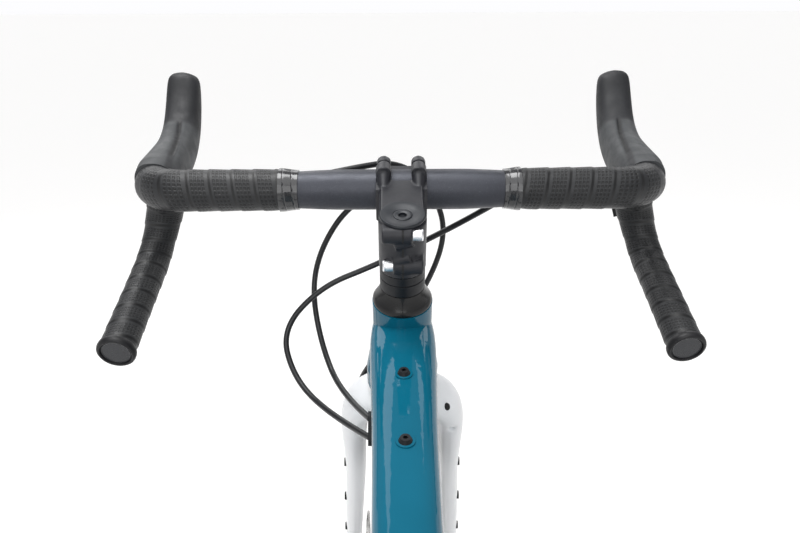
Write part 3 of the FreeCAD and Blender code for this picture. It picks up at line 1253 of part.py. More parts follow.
rear_hose = hose("rear hose", REAR_HOSE_ROUTE)
shift_housing = hose("shift housing", SHIFT_HOUSING_ROUTE)
front_hose = hose("front hose", FRONT_HOSE_ROUTE)
hose_rooms = [hose_room(route) for route in (REAR_HOSE_ROUTE, SHIFT_HOUSING_ROUTE, FRONT_HOSE_ROUTE)]
shoulder_spot = fork_station(1, FORK_SHARES[3])[0]
right_port = shoulder_spot - STEER_AHEAD * S.fork_crown_depth + STEER_UP * S.fork_port_rise
port_bore = Part.makeCylinder(S.fork_port_radius, S.fork_crown_depth / 2, right_port, STEER_AHEAD)
fork_tools = [steerer_hollow, port_bore, front_hose] + axle_holes + fork_bolts
fork_solid = fork_arch.fuse(fork_feet + [steerer_stock()]).cut(fork_tools)
nodes["fork"] = shaped("fork", max(fork_solid.Solids, key=lambda solid: solid.Volume))
nodes["front_brake_hose"] = shaped("front_brake_hose", front_hose)
nodes["rear_brake_hose"] = shaped("rear_brake_hose", rear_hose)
nodes["shift_housing"] = shaped("shift_housing", shift_housing)
port_cover = port_plate.cut([down_core, rear_hose, shift_housing])
port_cover = max(port_cover.Solids, key=lambda solid: solid.Volume)
boss_bolts = [tube_bolt("boss_bolt_%d" % i, top, TOP_UP) for i, top in enumerate(boss_tops)]
nodes["frame_fittings"] = group("frame_fittings", boss_bolts + [shaped("cable_port", port_cover)])

# Headset cover and spacers
cover_base = head_top + STEER_UP * S.headset_gap
cover = turned("headset_cone", [
    ("steerer_radius", "0"),
    ("cover_radius", "0"),
    ("cover_radius", "cover_lip"),
    ("spacer_radius", "cover_height-headset_gap"),
    ("steerer_radius", "cover_height-headset_gap"),
], cover_base, STEER)
spacer_base = head_top + STEER_UP * S.cover_height
low_ring = ring("low_spacer", "spacer_radius", "steerer_radius", "lower_spacer", spacer_base, STEER)
high_base = spacer_base + STEER_UP * S.lower_spacer
high_ring = ring("high_spacer", "spacer_radius", "steerer_radius", "upper_spacer", high_base, STEER)
nodes["headset_spacers"] = group("headset_spacers", [cover, low_ring, high_ring])

# Stem: steerer clamp, arm, bar clamp and the ears for the faceplate's bolts
STEM_UP = RIGHT.cross(STEM_AHEAD)
STEM_TURN = FreeCAD.Rotation(UP, STEM_UP)
AHEAD_TURN = FreeCAD.Rotation(UP, STEM_AHEAD)
bar_clamp_left = bar_mid - RIGHT * (S.bar_clamp_width / 2)


def bar_clamp_half(name, hand):
    """Half of the bar clamp with its bolt ears: behind the bar for -1, ahead of it for 1."""
    barrel = rod(name + "_barrel", "bar_clamp_radius", "bar_clamp_width", bar_clamp_left, ACROSS)
    ears = []
    for side in (-1, 1):
        spot = bar_mid + RIGHT * (side * S.ear_spread) + STEM_AHEAD * (hand * S.ear_depth / 2)
        sizes = ("ear_width", "ear_depth", "2*ear_height")
        ears.append(block("%s_ears_%d" % (name, side + 1), sizes, spot, STEM_TURN))
    stock = fuse(name + "_stock", [barrel] + ears)
    gap = S.plate_split / 2
    away = bar_mid - STEM_AHEAD * (hand * (S.stem_length / 2 - gap))
    other = block(name + "_other", ("2*bar_clamp_width", "stem_length", "4*ear_height"), away, STEM_TURN)
    return cut(name + "_half", stock, other)


def bolt_rows():
    """Places of the faceplate's four bolts."""
    for side in (-1, 1):
        for level in (-1, 1):
            yield bar_mid + RIGHT * (side * S.ear_spread) + STEM_UP * (level * S.plate_bolt_level)


clamp_tube = rod("stem_clamp", "stem_clamp_radius", "stem_clamp_height", stem_low, STEER)
arm_sizes = ("stem_root_radius", "stem_tip_radius", "stem_length-bar_centre_radius")
arm_tube = cone("stem_arm", *arm_sizes, stem_mid, AHEAD_TURN)
pinch_lugs = []
pinch_tools = []
stem_bolts = []
for level in (-1, 1):
    spot = stem_mid + STEER_UP * (level * S.pinch_offset) - STEER_AHEAD * S.pinch_lug_back
    tag = "pinch_%d" % (level + 1)
    start = spot - RIGHT * (S.pinch_width / 2)
    pinch_lugs.append(rod(tag + "_lug", "pinch_lug_radius", "pinch_width", start, ACROSS))
    turn = ACROSS if level > 0 else FreeCAD.Rotation(UP, V(-1, 0, 0))
    head_foot = spot + RIGHT * (level * S.pinch_head_place)
    tail = spot - RIGHT * (level * S.pinch_head_place)
    pinch_tools.append(rod(tag + "_sink", "stem_bolt_head", "pinch_width", head_foot, turn))
    pinch_tools.append(rod(tag + "_hole", "stem_bolt_radius", "2*pinch_head_place", tail, turn))
    shank = rod(tag + "_shank", "stem_bolt_radius", "2*pinch_head_place", tail, turn)
    button = rod(tag + "_head", "stem_bolt_head", "stem_head_length", head_foot, turn)
    socket = doc.addObject("Part::Prism", tag + "_socket")
    socket.Polygon = 6
    socket.setExpression("Circumradius", bound("plate_bolt_socket"))
    socket.setExpression("Height", bound("stem_head_length/2"))
    socket.Placement = FreeCAD.Placement(head_foot + RIGHT * (level * S.stem_head_length / 2), turn)
    stem_bolts.append(cut(tag + "_bolt", fuse(tag + "_body", [shank, button]), socket))
slit_spot = stem_mid - STEER_AHEAD * S.pinch_lug_back
slit_sizes = ("stem_slit", "2*pinch_lug_radius+pinch_lug_back/2", "2*stem_clamp_height")
pinch_slit = block("stem_slit_cut", slit_sizes, slit_spot, STEER)
bore_base = stem_mid - STEER_UP * S.stem_clamp_height
steerer_bore = rod("stem_bore", "steerer_radius", "2*stem_clamp_height", bore_base, STEER)
bar_bore_start = bar_mid - RIGHT * S.bar_clamp_width
bar_bore = rod("bar_bore", "bar_centre_radius", "2*bar_clamp_width", bar_bore_start, ACROSS)
bolt_holes = []
for i, spot in enumerate(bolt_rows()):
    tail = spot - STEM_AHEAD * S.ear_depth
    hole_start = tail - STEM_AHEAD * S.ear_depth
    bolt_holes.append(rod("plate_hole_%d" % i, "stem_bolt_radius", "3*ear_depth", hole_start, AHEAD_TURN))
    shank_start = tail + STEM_AHEAD * S.plate_bolt_short
    shank_length = "2*ear_depth-plate_bolt_short"
    shank = rod("plate_shank_%d" % i, "stem_bolt_radius", shank_length, shank_start, AHEAD_TURN)
    front = spot + STEM_AHEAD * S.ear_depth
    button = rod("plate_button_%d" % i, "stem_bolt_head", "stem_head_length", front, AHEAD_TURN)
    stem_bolts.append(fuse("plate_bolt_%d" % i, [shank, button]))
nodes["stem_bolts"] = group("stem_bolts", stem_bolts)
stem_tools = fuse("stem_tools", [steerer_bore, bar_bore, pinch_slit] + pinch_tools + bolt_holes)
stem_stock = fuse("stem_stock", [clamp_tube, arm_tube, bar_clamp_half("stem_jaw", -1)] + pinch_lugs)
nodes["stem"] = cut("stem", stem_stock, stem_tools)
plate_bore = rod("plate_bore", "bar_centre_radius", "2*bar_clamp_width", bar_bore_start, ACROSS)
plate_holes = []
for i, spot in enumerate(bolt_rows()):
    hole_start = spot - STEM_AHEAD * S.ear_depth
    plate_holes.append(rod("face_hole_%d" % i, "stem_bolt_radius", "3*ear_depth", hole_start, AHEAD_TURN))
window_mid = bar_mid + STEM_AHEAD * S.bar_clamp_radius
window_sizes = ("ear_spread", "4*ear_depth", "bar_centre_radius")
plate_window = block("plate_window", window_sizes, window_mid, STEM_TURN)
plate_tools = fuse("plate_tools", [plate_bore, plate_window] + plate_holes)
nodes["stem_faceplate"] = cut("stem_faceplate", bar_clamp_half("face_jaw", 1), plate_tools)

# Top cap with its plug and bolt
stem_top = stem_low + STEER_UP * S.stem_clamp_height
cap = turned("cap_body", [
    ("0", "0"),
    ("plug_radius", "0"),
    ("plug_radius", "plug_length"),
    ("cap_radius", "plug_length"),
    ("cap_radius", "plug_length+cap_lip"),
    ("cap_radius-cap_crown", "plug_length+cap_height-cap_edge_drop"),
    ("cap_bolt_radius", "plug_length+cap_height"),
    ("0", "plug_length+cap_height"),
], stem_top - STEER_UP * S.plug_length, STEER)
cap_face = stem_top + STEER_UP * S.cap_height
cap_button = cone("cap_button", "cap_bolt_radius", "cap_bolt_top", "cap_bolt_height", cap_face, STEER)
cap_socket = doc.addObject("Part::Prism", "cap_socket")
cap_socket.Polygon = 6
cap_socket.setExpression("Circumradius", bound("cap_socket"))
cap_socket.setExpression("Height", bound("cap_bolt_height"))
cap_socket.Placement = FreeCAD.Placement(cap_face + STEER_UP * S.cap_socket_floor, STEER)
nodes["top_cap"] = group("top_cap", [cap, cut("cap_bolt", cap_button, cap_socket)])


# Handlebar, tape, plugs, hoods and levers, drawn for the right and mirrored
def bar_point(side, out, ahead, up):
    """A point placed from the bar's middle."""
    return bar_mid + V(side * out, ahead, up)


def bar_corners(side):
    """Corners of one half of the handlebar from the top to the drop's end."""
    return [
        bar_point(side, S.bar_half_width, 0, 0),
        bar_point(side, S.bar_half_width + S.bar_ramp_out, S.bar_reach, -S.bar_ramp_drop),
        bar_point(side, S.bar_half_width + S.hook_out, S.hook_reach, -S.hook_drop),
        bar_point(side, S.end_out, -S.end_back, -S.end_drop),
    ]


BENDS = [S.corner_bend, S.hook_bend, S.drop_bend]
bar_path = rounded_path(bar_corners(-1)[::-1] + bar_corners(1), BENDS[::-1] + BENDS)
bar_core = pipe(bar_path, S.bar_radius)
bar_middle = [drum(bar_mid, RIGHT, S.bar_centre_radius, 2 * S.bar_clamp_half)]
for side in (-1, 1):
    root = bar_point(side, S.bar_clamp_half, 0, 0)
    taper = S.bar_taper_end - S.bar_clamp_half
    bar_middle.append(Part.makeCone(S.bar_centre_radius, S.bar_radius, taper, root, RIGHT * side))
bar_core = bar_core.fuse(bar_middle)
bar_hollow = pipe(bar_path, S.bar_radius - S.bar_wall)
# Shallow grooves take the hoses where they run in under the tape
nodes["handlebar"] = shaped("handlebar", bar_core.cut([bar_hollow] + hose_rooms))


def tape_stock(side):
    """One side's wrap: thick along the top over the hoses, thinner round the drop."""
    corners = bar_corners(side)
    start = bar_point(side, S.tape_start, 0, 0)
    last_way = (corners[3] - corners[2]).normalize()
    end = corners[3] - last_way * S.tape_end_gap
    whole = pipe(rounded_path([start] + corners[:3] + [end], BENDS), S.tape_drop_radius)
    ramp = corners[0] + (corners[1] - corners[0]) * S.tape_ramp_share
    top = pipe(rounded_path([start, corners[0], ramp], BENDS[:1]), S.tape_top_radius)
    return whole.fuse(top)


tape_cores = [tape_stock(side) for side in (-1, 1)]
tapes = [core.cut([bar_core] + hose_rooms) for core in tape_cores]
bands = []
for side in (-1, 1):
    foot = bar_point(side, S.tape_start, 0, 0)
    band = Part.makeCylinder(S.tape_top_radius + S.band_thickness, S.band_length, foot, RIGHT * side)
    band_bore = Part.makeCylinder(S.tape_top_radius, S.band_length, foot, RIGHT * side)
    bands.append(band.cut([band_bore] + hose_rooms))
plug_solids = []
for side in (-1, 1):
    corners = bar_corners(side)
    way = (corners[3] - corners[2]).normalize()
    plug_solids.append(turned("end_plug_%d" % (side + 1), [
        ("0", "0"),
        ("bar_radius-bar_wall", "0"),
        ("bar_radius-bar_wall", "plug_depth"),
        ("plug_rim_radius", "plug_depth"),
        ("plug_rim_radius", "plug_depth+plug_rim"),
        ("plug_face_radius", "plug_depth+plug_rim"),
        ("plug_face_radius", "plug_depth+plug_rim-plug_recess"),
        ("0", "plug_depth+plug_rim-plug_recess"),
    ], corners[3] - way * S.plug_depth, FreeCAD.Rotation(UP, way)))
nodes["bar_end_plugs"] = group("bar_end_plugs", plug_solids)

# Hood: (reach, rise, half width, half depth) shares from the bar to the horn
HOOD_SHARES = (
    (0.27, 0.03, 1.20, 1.18),
    (0.48, 0.08, 1.06, 1.16),
    (0.70, 0.20, 1.0, 1.15),
    (0.85, 0.45, 0.96, 0.98),
    (0.93, 0.72, 0.90, 0.76),
    (0.965, 0.90, 0.74, 0.56),
)
# Lever: (ahead, drop, out, half width, half depth) shares from the pivot to the tip
LEVER_SHARES = (
    (0.0, 0.0, 0.0, 0.72, 0.9),
    (0.085, 0.24, 0.03, 0.85, 0.9),
    (0.09, 0.52, 0.09, 1.0, 0.75),
    (0.03, 0.80, 0.16, 1.08, 0.66),
    (-0.03, 1.0, 0.21, 0.8, 0.5),
)
# Paddle: (behind, drop, out, half width, half depth) shares behind the right lever
PADDLE_SHARES = (
    (0.06, 0.30, 0.02, 0.7, 0.5),
    (0.10, 0.46, 0.05, 1.1, 0.4),
    (0.16, 0.68, 0.11, 1.3, 0.4),
)


def lever_stations(side, shares):
    """Stations of a lever or paddle placed from its pivot."""
    pivot = bar_point(side, S.hood_out, S.lever_pivot_reach, S.lever_pivot_rise)
    stations = []
    for ahead, drop, out, width, depth in shares:
        centre = pivot + V(side * out, ahead, -drop) * S.lever_length
        stations.append((centre, S.lever_half_width * width, S.lever_half_depth * depth))
    return stations


hoods = []
for side, tag in ((-1, "left"), (1, "right")):
    pivot = bar_point(side, S.hood_out, S.lever_pivot_reach, S.lever_pivot_rise)
    stations = []
    for reach, hood_rise, width, depth in HOOD_SHARES:
        centre = bar_point(side, S.hood_out, S.hood_reach * reach, S.hood_rise * hood_rise)
        stations.append((centre, S.hood_half_width * width, S.hood_half_depth * depth))
    body = limb(stations, RIGHT, S.hood_fullness)
    slot_mid = pivot + V(0, S.hood_reach / 2 - S.hood_slot_back, S.hood_slot_head - S.hood_rise)
    slot = block_shape(slot_mid, S.hood_slot_width, S.hood_reach, 2 * S.hood_rise)
    pin = drum(pivot, RIGHT, S.lever_pin_radius, S.hood_slot_width + 2 * S.lever_pin_seat)
    body = body.cut(tape_cores + [bar_core, slot, pin])
    hoods.append(max(body.Solids, key=lambda solid: solid.Volume))
    hoods.append(pin)
    blade = limb(lever_stations(side, LEVER_SHARES), RIGHT)
    boss = drum(pivot, RIGHT, S.lever_boss_radius, S.lever_width)
    blade = blade.fuse(boss)
    if side > 0:
        top_paddle = lever_stations(side, PADDLE_SHARES)[0][0]
        pin_tail = top_paddle - AHEAD * (S.paddle_back + S.paddle_pin_stand)
        paddle_pin = Part.makeCylinder(S.paddle_pin_radius, S.paddle_pin_length, pin_tail, AHEAD)
        blade = blade.fuse(paddle_pin)
        paddle_stations = []
        for centre, width, depth in lever_stations(side, PADDLE_SHARES):
            behind = V(centre.x, 2 * top_paddle.y - centre.y - S.paddle_back, centre.z)
            paddle_stations.append((behind, width, depth))
        paddle = limb(paddle_stations, RIGHT)
        eye_mid = top_paddle + AHEAD * (S.paddle_eye_length / 2 - S.paddle_back)
        eye = drum(eye_mid, AHEAD, S.paddle_eye_radius, S.paddle_eye_length)
        bore_hole = drum(top_paddle, AHEAD, S.paddle_pin_radius + S.lever_pin_fit, S.hood_reach)
        nodes["shift_paddle"] = shaped("shift_paddle", paddle.fuse(eye).cut(bore_hole))
    hole = drum(pivot, RIGHT, S.lever_pin_radius + S.lever_pin_fit, 2 * S.lever_width)
    nodes[tag + "_brake_lever"] = shaped(tag + "_brake_lever", blade.cut(hole))
nodes["lever_hoods"] = shaped("lever_hoods", Part.makeCompound(hoods))
wraps = []
for tape in tapes:
    wraps.append(max(tape.cut(hoods).Solids, key=lambda solid: solid.Volume))
nodes["bar_tape"] = shaped("bar_tape", Part.makeCompound(wraps + bands))


# Brake calipers: a slotted body over the disc with a pad on each side of it
def caliper(name, rotor_mid, along, upward, reach, lift, blockers):
    """One caliper placed along and above a line from the axle, cut back to the pieces it sits on."""
    centre = rotor_mid + along * reach + upward * lift
    middle = centre + RIGHT * ((S.caliper_inner - S.caliper_outer) / 2)
    across = RIGHT * (S.caliper_inner + S.caliper_outer)
    stock = slab(middle, along, S.caliper_length / 2, upward, S.caliper_height / 2, across)
    stock = stock.makeFillet(S.caliper_edge, stock.Edges)
    banjo = drum(middle - across / 2, RIGHT, S.caliper_bolt_radius, 2 * S.caliper_bolt_height)
    slot = drum(rotor_mid, RIGHT, S.rotor_radius + S.caliper_clear, S.caliper_slot)
    body = stock.fuse(banjo).cut([slot] + blockers)
    body = max(body.Solids, key=lambda solid: solid.Volume)
    pads = []
    gap = S.rotor_thickness / 2 + S.pad_gap
    thick = S.caliper_slot / 2 - gap
    for side in (-1, 1):
        spot = centre + RIGHT * (side * (gap + thick / 2))
        pads.append(slab(spot, along, S.pad_length / 2, upward, S.pad_height / 2, RIGHT * thick))
    nodes[name] = shaped(name, Part.makeCompound([body] + pads))


STAY_WAY = (bracket - rear_axle).normalize()
STAY_UP = RIGHT.cross(STAY_WAY)
rear_blockers = chain_stays + seat_stays + dropout_cores
rear_place = (S.rear_caliper_reach, S.rear_caliper_lift)
caliper("rear_brake_caliper", rear_rotor_mid, STAY_WAY, STAY_UP, *rear_place, rear_blockers)
LEG_WAY = (crown_seat - front_axle).normalize()
LEG_BACK = RIGHT.cross(LEG_WAY)
front_blockers = [nodes["fork"].Shape]
front_place = (S.front_caliper_reach, S.front_caliper_lift)
caliper("front_brake_caliper", front_rotor_mid, LEG_WAY, LEG_BACK, *front_place, front_blockers)

# Chainring, cranks with the spindle, pedal axles and pedals
ring_phase = phase_of(ring_centre)
ring_plate = sprocket(ring_centre, int(S.ring_teeth), ring_phase, S.ring_thickness, S.ring_hole_radius)
window_outer = drum(ring_centre, RIGHT, ring_pins - S.ring_rim_depth, 2 * S.ring_thickness)
window_inner = drum(ring_centre, RIGHT, S.ring_bolt_radius, 2 * S.ring_thickness)
ring_arms = []
for i in range(int(S.ring_arm_count)):
    outward = polar(V(), 1, math.tau * i / S.ring_arm_count)
    middle = ring_centre + outward * (ring_pins / 2)
    sideways = RIGHT.cross(outward)
    arm_across = RIGHT * (2 * S.ring_thickness)
    ring_arms.append(slab(middle, outward, ring_pins / 2, sideways, S.ring_arm_width / 2, arm_across))
windows = window_outer.cut([window_inner] + ring_arms)
nodes["chainring"] = shaped("chainring", ring_plate.cut(windows))
crank_arms = []
pedal_axles = []
upright_share = 0.9
crank_mid = S.crank_inner + S.crank_thickness / 2
ring_face = S.chain_line + S.ring_thickness / 2
for side, tag in ((1, "right"), (-1, "left")):
    hub_spot = bracket + RIGHT * (side * crank_mid)
    eye_spot = hub_spot + AHEAD * (side * S.crank_length)
    arm = stadium(hub_spot, S.crank_hub_radius, eye_spot, S.crank_end_radius, RIGHT, S.crank_thickness)
    arm = arm.makeFillet(S.crank_edge, arm.Edges)
    neck_start = bracket + RIGHT * (side * (S.chain_line - S.ring_thickness / 2))
    neck_reach = crank_mid - S.chain_line + S.ring_thickness / 2
    neck = Part.makeCylinder(S.ring_hole_radius, neck_reach, neck_start, RIGHT * side)
    collar_start = bracket + RIGHT * (side * ring_face)
    collar = Part.makeCylinder(S.crank_hub_radius, crank_mid - ring_face, collar_start, RIGHT * side)
    arm = arm.fuse([neck, collar])
    axle_start = eye_spot - RIGHT * (side * S.crank_thickness / 2)
    axle_reach = S.crank_thickness + S.pedal_gap + S.pedal_width - S.pedal_axle_short
    axle = Part.makeCylinder(S.pedal_axle_radius, axle_reach, axle_start, RIGHT * side)
    pedal_axles.append(axle)
    arm = arm.cut(axle)
    spindle_start = bracket - RIGHT * (S.crank_inner + S.crank_thickness)
    spindle_reach = 2 * S.crank_inner + S.crank_thickness
    solid_spindle = Part.makeCylinder(S.spindle_radius, spindle_reach, spindle_start, RIGHT)
    spindle = solid_spindle.cut(Part.makeCylinder(S.spindle_bore, 2 * S.crank_inner, spindle_start, RIGHT))
    crank_arms.append(arm.fuse(spindle) if side > 0 else arm.cut(solid_spindle))
    pedal_mid = eye_spot + RIGHT * (side * (S.crank_thickness / 2 + S.pedal_gap + S.pedal_width / 2))
    body = block_shape(pedal_mid, S.pedal_width, S.pedal_length, S.pedal_height)
    uprights = [edge for edge in body.Edges if abs(edge.tangentAt(edge.FirstParameter).z) > upright_share]
    body = body.makeFillet(S.pedal_corner, uprights)
    cuts = []
    studs = []
    for a in (-1, 1):
        for b in (-1, 1):
            spot = pedal_mid + V(a * S.pedal_width / 4, b * S.pedal_length / 4, 0)
            cuts.append(block_shape(spot, S.pedal_window_width, S.pedal_window_length, 2 * S.pedal_height))
            stud_x = a * (S.pedal_width / 2 - S.pedal_pin_inset)
            stud_y = b * (S.pedal_length / 2 - S.pedal_pin_inset)
            stud_length = S.pedal_height + 2 * S.pedal_pin_height
            studs.append(drum(pedal_mid + V(stud_x, stud_y, 0), UP, S.pedal_pin_radius, stud_length))
    bore_depth = S.pedal_gap + S.pedal_width - S.pedal_axle_short + S.pedal_end_gap
    bore_start = eye_spot + RIGHT * (side * S.crank_thickness / 2)
    cuts.append(Part.makeCylinder(S.pedal_axle_radius + S.spindle_fit, bore_depth, bore_start, RIGHT * side))
    nodes[tag + "_pedal"] = shaped(tag + "_pedal", body.fuse(studs).cut(cuts))
nodes["crank_arms"] = shaped("crank_arms", Part.makeCompound(crank_arms))
nodes["pedal_axles"] = shaped("pedal_axles", Part.makeCompound(pedal_axles))

# Rear derailleur: a slanted four-bar linkage that carries a sprung cage with two toothed pulleys
tilt = math.radians(S.link_tilt)
LINK_AXIS = V(-math.sin(tilt), 0, math.cos(tilt))
LINK_OUT = AHEAD.cross(LINK_AXIS)
LINK_RUN = AHEAD * (S.link_back + S.link_ahead) - LINK_OUT * S.link_swing
link_mid = rear_axle + V(S.link_place, -S.link_back, -S.link_drop)
rear_pivots = [link_mid + LINK_OUT * (side * S.link_spacing / 2) for side in (-1, 1)]
front_pivots = [pivot + LINK_RUN for pivot in rear_pivots]
pin_length = S.link_height + 2 * S.plate_gap + 2 * S.fork_plate
for name, start, stop in zip(("derailleur_inner_link", "derailleur_outer_link"), rear_pivots, front_pivots):
    bar = stadium(start, S.link_eye, stop, S.link_eye, LINK_AXIS, S.link_height)
    hole_radius = S.link_pin_radius + S.link_pin_fit
    holes = [drum(pivot, LINK_AXIS, hole_radius, 2 * S.link_height) for pivot in (start, stop)]
    nodes[name] = shaped(name, bar.cut(holes))


def pivot_fork(pivots, hand):
    """Two plates above and below the links, the web that joins them, and the two link pins."""
    pieces = []
    for level in (-1, 1):
        shift = LINK_AXIS * (level * (S.link_height / 2 + S.plate_gap + S.fork_plate / 2))
        first, last = (pivot + shift for pivot in pivots)
        pieces.append(stadium(first, S.plate_eye, last, S.plate_eye, LINK_AXIS, S.fork_plate))
    middle = (pivots[0] + pivots[1]) / 2 + AHEAD * (hand * (S.link_eye + S.link_web_gap + S.link_web / 2))
    pieces.append(slab(middle, LINK_OUT, S.link_spacing, LINK_AXIS, pin_length / 2, AHEAD * S.link_web))
    pieces += [drum(pivot, LINK_AXIS, S.link_pin_radius, pin_length) for pivot in pivots]
    return pieces


# Mount: bolted through the hanger, carrying the linkage's rear pivots
mount_foot = hanger_mid + RIGHT * (S.dropout_thickness / 2)
mount_knuckle = Part.makeCylinder(S.mount_knuckle_radius, S.mount_knuckle_length, mount_foot, RIGHT)
bolt_reach = S.dropout_thickness + S.mount_knuckle_length + S.mount_bolt_head_height
bolt_start = mount_foot - RIGHT * S.dropout_thickness
mount_bolt = Part.makeCylinder(S.mount_bolt_radius, bolt_reach, bolt_start, RIGHT)
head_foot = mount_foot + RIGHT * S.mount_knuckle_length
bolt_head = Part.makeCylinder(S.mount_bolt_head, S.mount_bolt_head_height, head_foot, RIGHT)
shoulder_mid = rear_axle + V(0, -S.mount_arm_back, -S.mount_arm_drop)
shoulder_mid.x = mount_foot.x + S.mount_arm_gap + S.mount_arm_width / 2
shoulder = block_shape(shoulder_mid, S.mount_arm_width, S.mount_arm_length, S.mount_arm_height)
mount_shape = mount_knuckle.fuse([mount_bolt, bolt_head, shoulder] + pivot_fork(rear_pivots, -1))
nodes["derailleur_mount"] = shaped("derailleur_mount", mount_shape)

# Knuckle: carries the linkage's front pivots and the cage's stub
knuckle_mid = guide_centre + RIGHT * S.knuckle_out
knuckle_drum = drum(knuckle_mid, RIGHT, S.knuckle_radius, S.knuckle_length)
knuckle_end = V(knuckle_mid.x, front_pivots[0].y, knuckle_mid.z + S.knuckle_arm_rise)
knuckle_radii = (S.knuckle_radius, S.knuckle_arm_radius)
knuckle_arm = stadium(knuckle_mid, knuckle_radii[0], knuckle_end, knuckle_radii[1], RIGHT, S.knuckle_length)
stub_hole = drum(knuckle_mid, RIGHT, S.cage_stub_radius + S.cage_stub_fit, 2 * S.knuckle_length)
knuckle_shape = knuckle_drum.fuse([knuckle_arm] + pivot_fork(front_pivots, 1)).cut(stub_hole)
nodes["derailleur_knuckle"] = shaped("derailleur_knuckle", knuckle_shape)

# Cage: two plates with the pulley bolts between them and the stub that turns in the knuckle
cage_pieces = []
for side in (-1, 1):
    shift = RIGHT * (side * (S.cage_gap + S.cage_plate / 2))
    plate = stadium(guide_centre + shift, S.cage_eye, tension_centre + shift, S.cage_eye, RIGHT, S.cage_plate)
    inset = CAGE_WAY * (S.cage_length * S.cage_window_share)
    window_top = guide_centre + shift + inset
    window_low = tension_centre + shift - inset
    window_end = S.cage_waist / 2
    window = stadium(window_top, window_end, window_low, window_end, RIGHT, 2 * S.cage_plate)
    cage_pieces.append(plate.cut(window))
for centre in (guide_centre, tension_centre):
    bolt_length = 2 * S.cage_gap + 3 * S.cage_plate
    cage_pieces.append(drum(centre, RIGHT, S.pulley_bolt_radius, bolt_length))
stub_start = guide_centre + RIGHT * (S.cage_gap + S.cage_plate / 2)
stub_reach = S.knuckle_out + S.knuckle_length / 2 - S.cage_gap - S.cage_plate / 2
cage_pieces.append(Part.makeCylinder(S.cage_stub_radius, stub_reach, stub_start, RIGHT))
nodes["derailleur_cage"] = shaped("derailleur_cage", cage_pieces[0].fuse(cage_pieces[1:]))
for name, centre in (("guide_pulley", guide_centre), ("tension_pulley", tension_centre)):
    hole_radius = S.pulley_bolt_radius + S.pulley_fit
    wheel = sprocket(centre, int(S.pulley_teeth), phase_of(centre), S.ring_thickness, hole_radius)
    boss = drum(centre, RIGHT, S.pulley_boss, 2 * (S.cage_gap - S.pulley_side_gap))
    nodes[name] = shaped(name, wheel.fuse(boss.cut(drum(centre, RIGHT, hole_radius, 2 * S.cage_gap))))

# Rear loop of the shift housing: from the chain stay round to the derailleur
REAR_LOOP_ROUTE = [
    V(73, -447, 340), V(85, -504, 366), V(92, -569, 378),
    V(93, -590, 347), V(91, -573, 314), V(88, -536, 316),
]
rear_loop = hose("rear loop", REAR_LOOP_ROUTE).cut(chain_stays + [mount_shape])
rear_loop = max(rear_loop.Solids, key=lambda solid: solid.Volume)
nodes["shift_housing"].Shape = Part.makeCompound([shift_housing, rear_loop])

# Check every object, then write one file per node
doc.recompute()
for item in doc.Objects:
    if "Invalid" in item.State or "Error" in item.State:
        raise ValueError("%s has state %s" % (item.Name, item.State))
for name, item in nodes.items():
    if item.Shape.isNull() or not item.Shape.isValid():
        raise ValueError("%s has no valid shape" % name)
os.makedirs("parts", exist_ok=True)
for name, item in nodes.items():
    item.Shape.exportStep("parts/%s.step" % name)
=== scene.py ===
import math

import bmesh
import bpy
from mathutils import Matrix, Vector


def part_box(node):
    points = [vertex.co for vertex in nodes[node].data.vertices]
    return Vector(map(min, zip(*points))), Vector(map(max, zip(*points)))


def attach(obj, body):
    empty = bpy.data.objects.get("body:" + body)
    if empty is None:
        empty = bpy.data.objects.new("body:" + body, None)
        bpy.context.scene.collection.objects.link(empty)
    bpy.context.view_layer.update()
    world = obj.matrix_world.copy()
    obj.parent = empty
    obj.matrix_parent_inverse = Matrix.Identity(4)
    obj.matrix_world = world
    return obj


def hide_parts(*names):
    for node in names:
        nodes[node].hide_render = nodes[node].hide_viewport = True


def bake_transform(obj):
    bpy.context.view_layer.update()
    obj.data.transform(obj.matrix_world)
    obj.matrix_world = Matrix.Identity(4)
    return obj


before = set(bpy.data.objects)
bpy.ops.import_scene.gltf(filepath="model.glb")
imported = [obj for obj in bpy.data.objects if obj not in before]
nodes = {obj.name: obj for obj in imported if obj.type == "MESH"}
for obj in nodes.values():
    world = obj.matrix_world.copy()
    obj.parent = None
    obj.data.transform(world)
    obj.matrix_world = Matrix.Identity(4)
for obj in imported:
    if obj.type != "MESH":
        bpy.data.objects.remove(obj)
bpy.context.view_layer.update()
scene = bpy.context.scene
MM = 0.001
RIGHT = Vector((1, 0, 0))
AHEAD = Vector((0, 1, 0))
UP = Vector((0, 0, 1))
HEAD_ANGLE = math.radians(71)
STEM_RISE = math.radians(15.7)
STEER_UP = Vector((0, -math.cos(HEAD_ANGLE), math.sin(HEAD_ANGLE)))
STEER_AHEAD = Vector((0, math.sin(HEAD_ANGLE), math.cos(HEAD_ANGLE)))
STEM_AHEAD = Vector((0, math.cos(STEM_RISE), math.sin(STEM_RISE)))
STEM_UP = RIGHT.cross(STEM_AHEAD)

# Places on the bike, in millimetres, that the pieces below share with the solid model
BAR_MID = Vector((0, 359.384, 861.085))
FRONT_AXLE = Vector((0, 508, 350))
REAR_AXLE = Vector((0, -508, 350))
TYRE_RADIUS = 350
TYRE_WIDTH = 40
STEM_LENGTH = 76
STEM_MID = BAR_MID - STEM_AHEAD * STEM_LENGTH

SIDES = ((-1, "left"), (1, "right"))

# Finishes are built up step by step, with soft patches between two shares
PATCH_RANGE = (0.3, 0.7)
CELL_MIDDLE = 0.5
FALL = (1.0, 0.0)


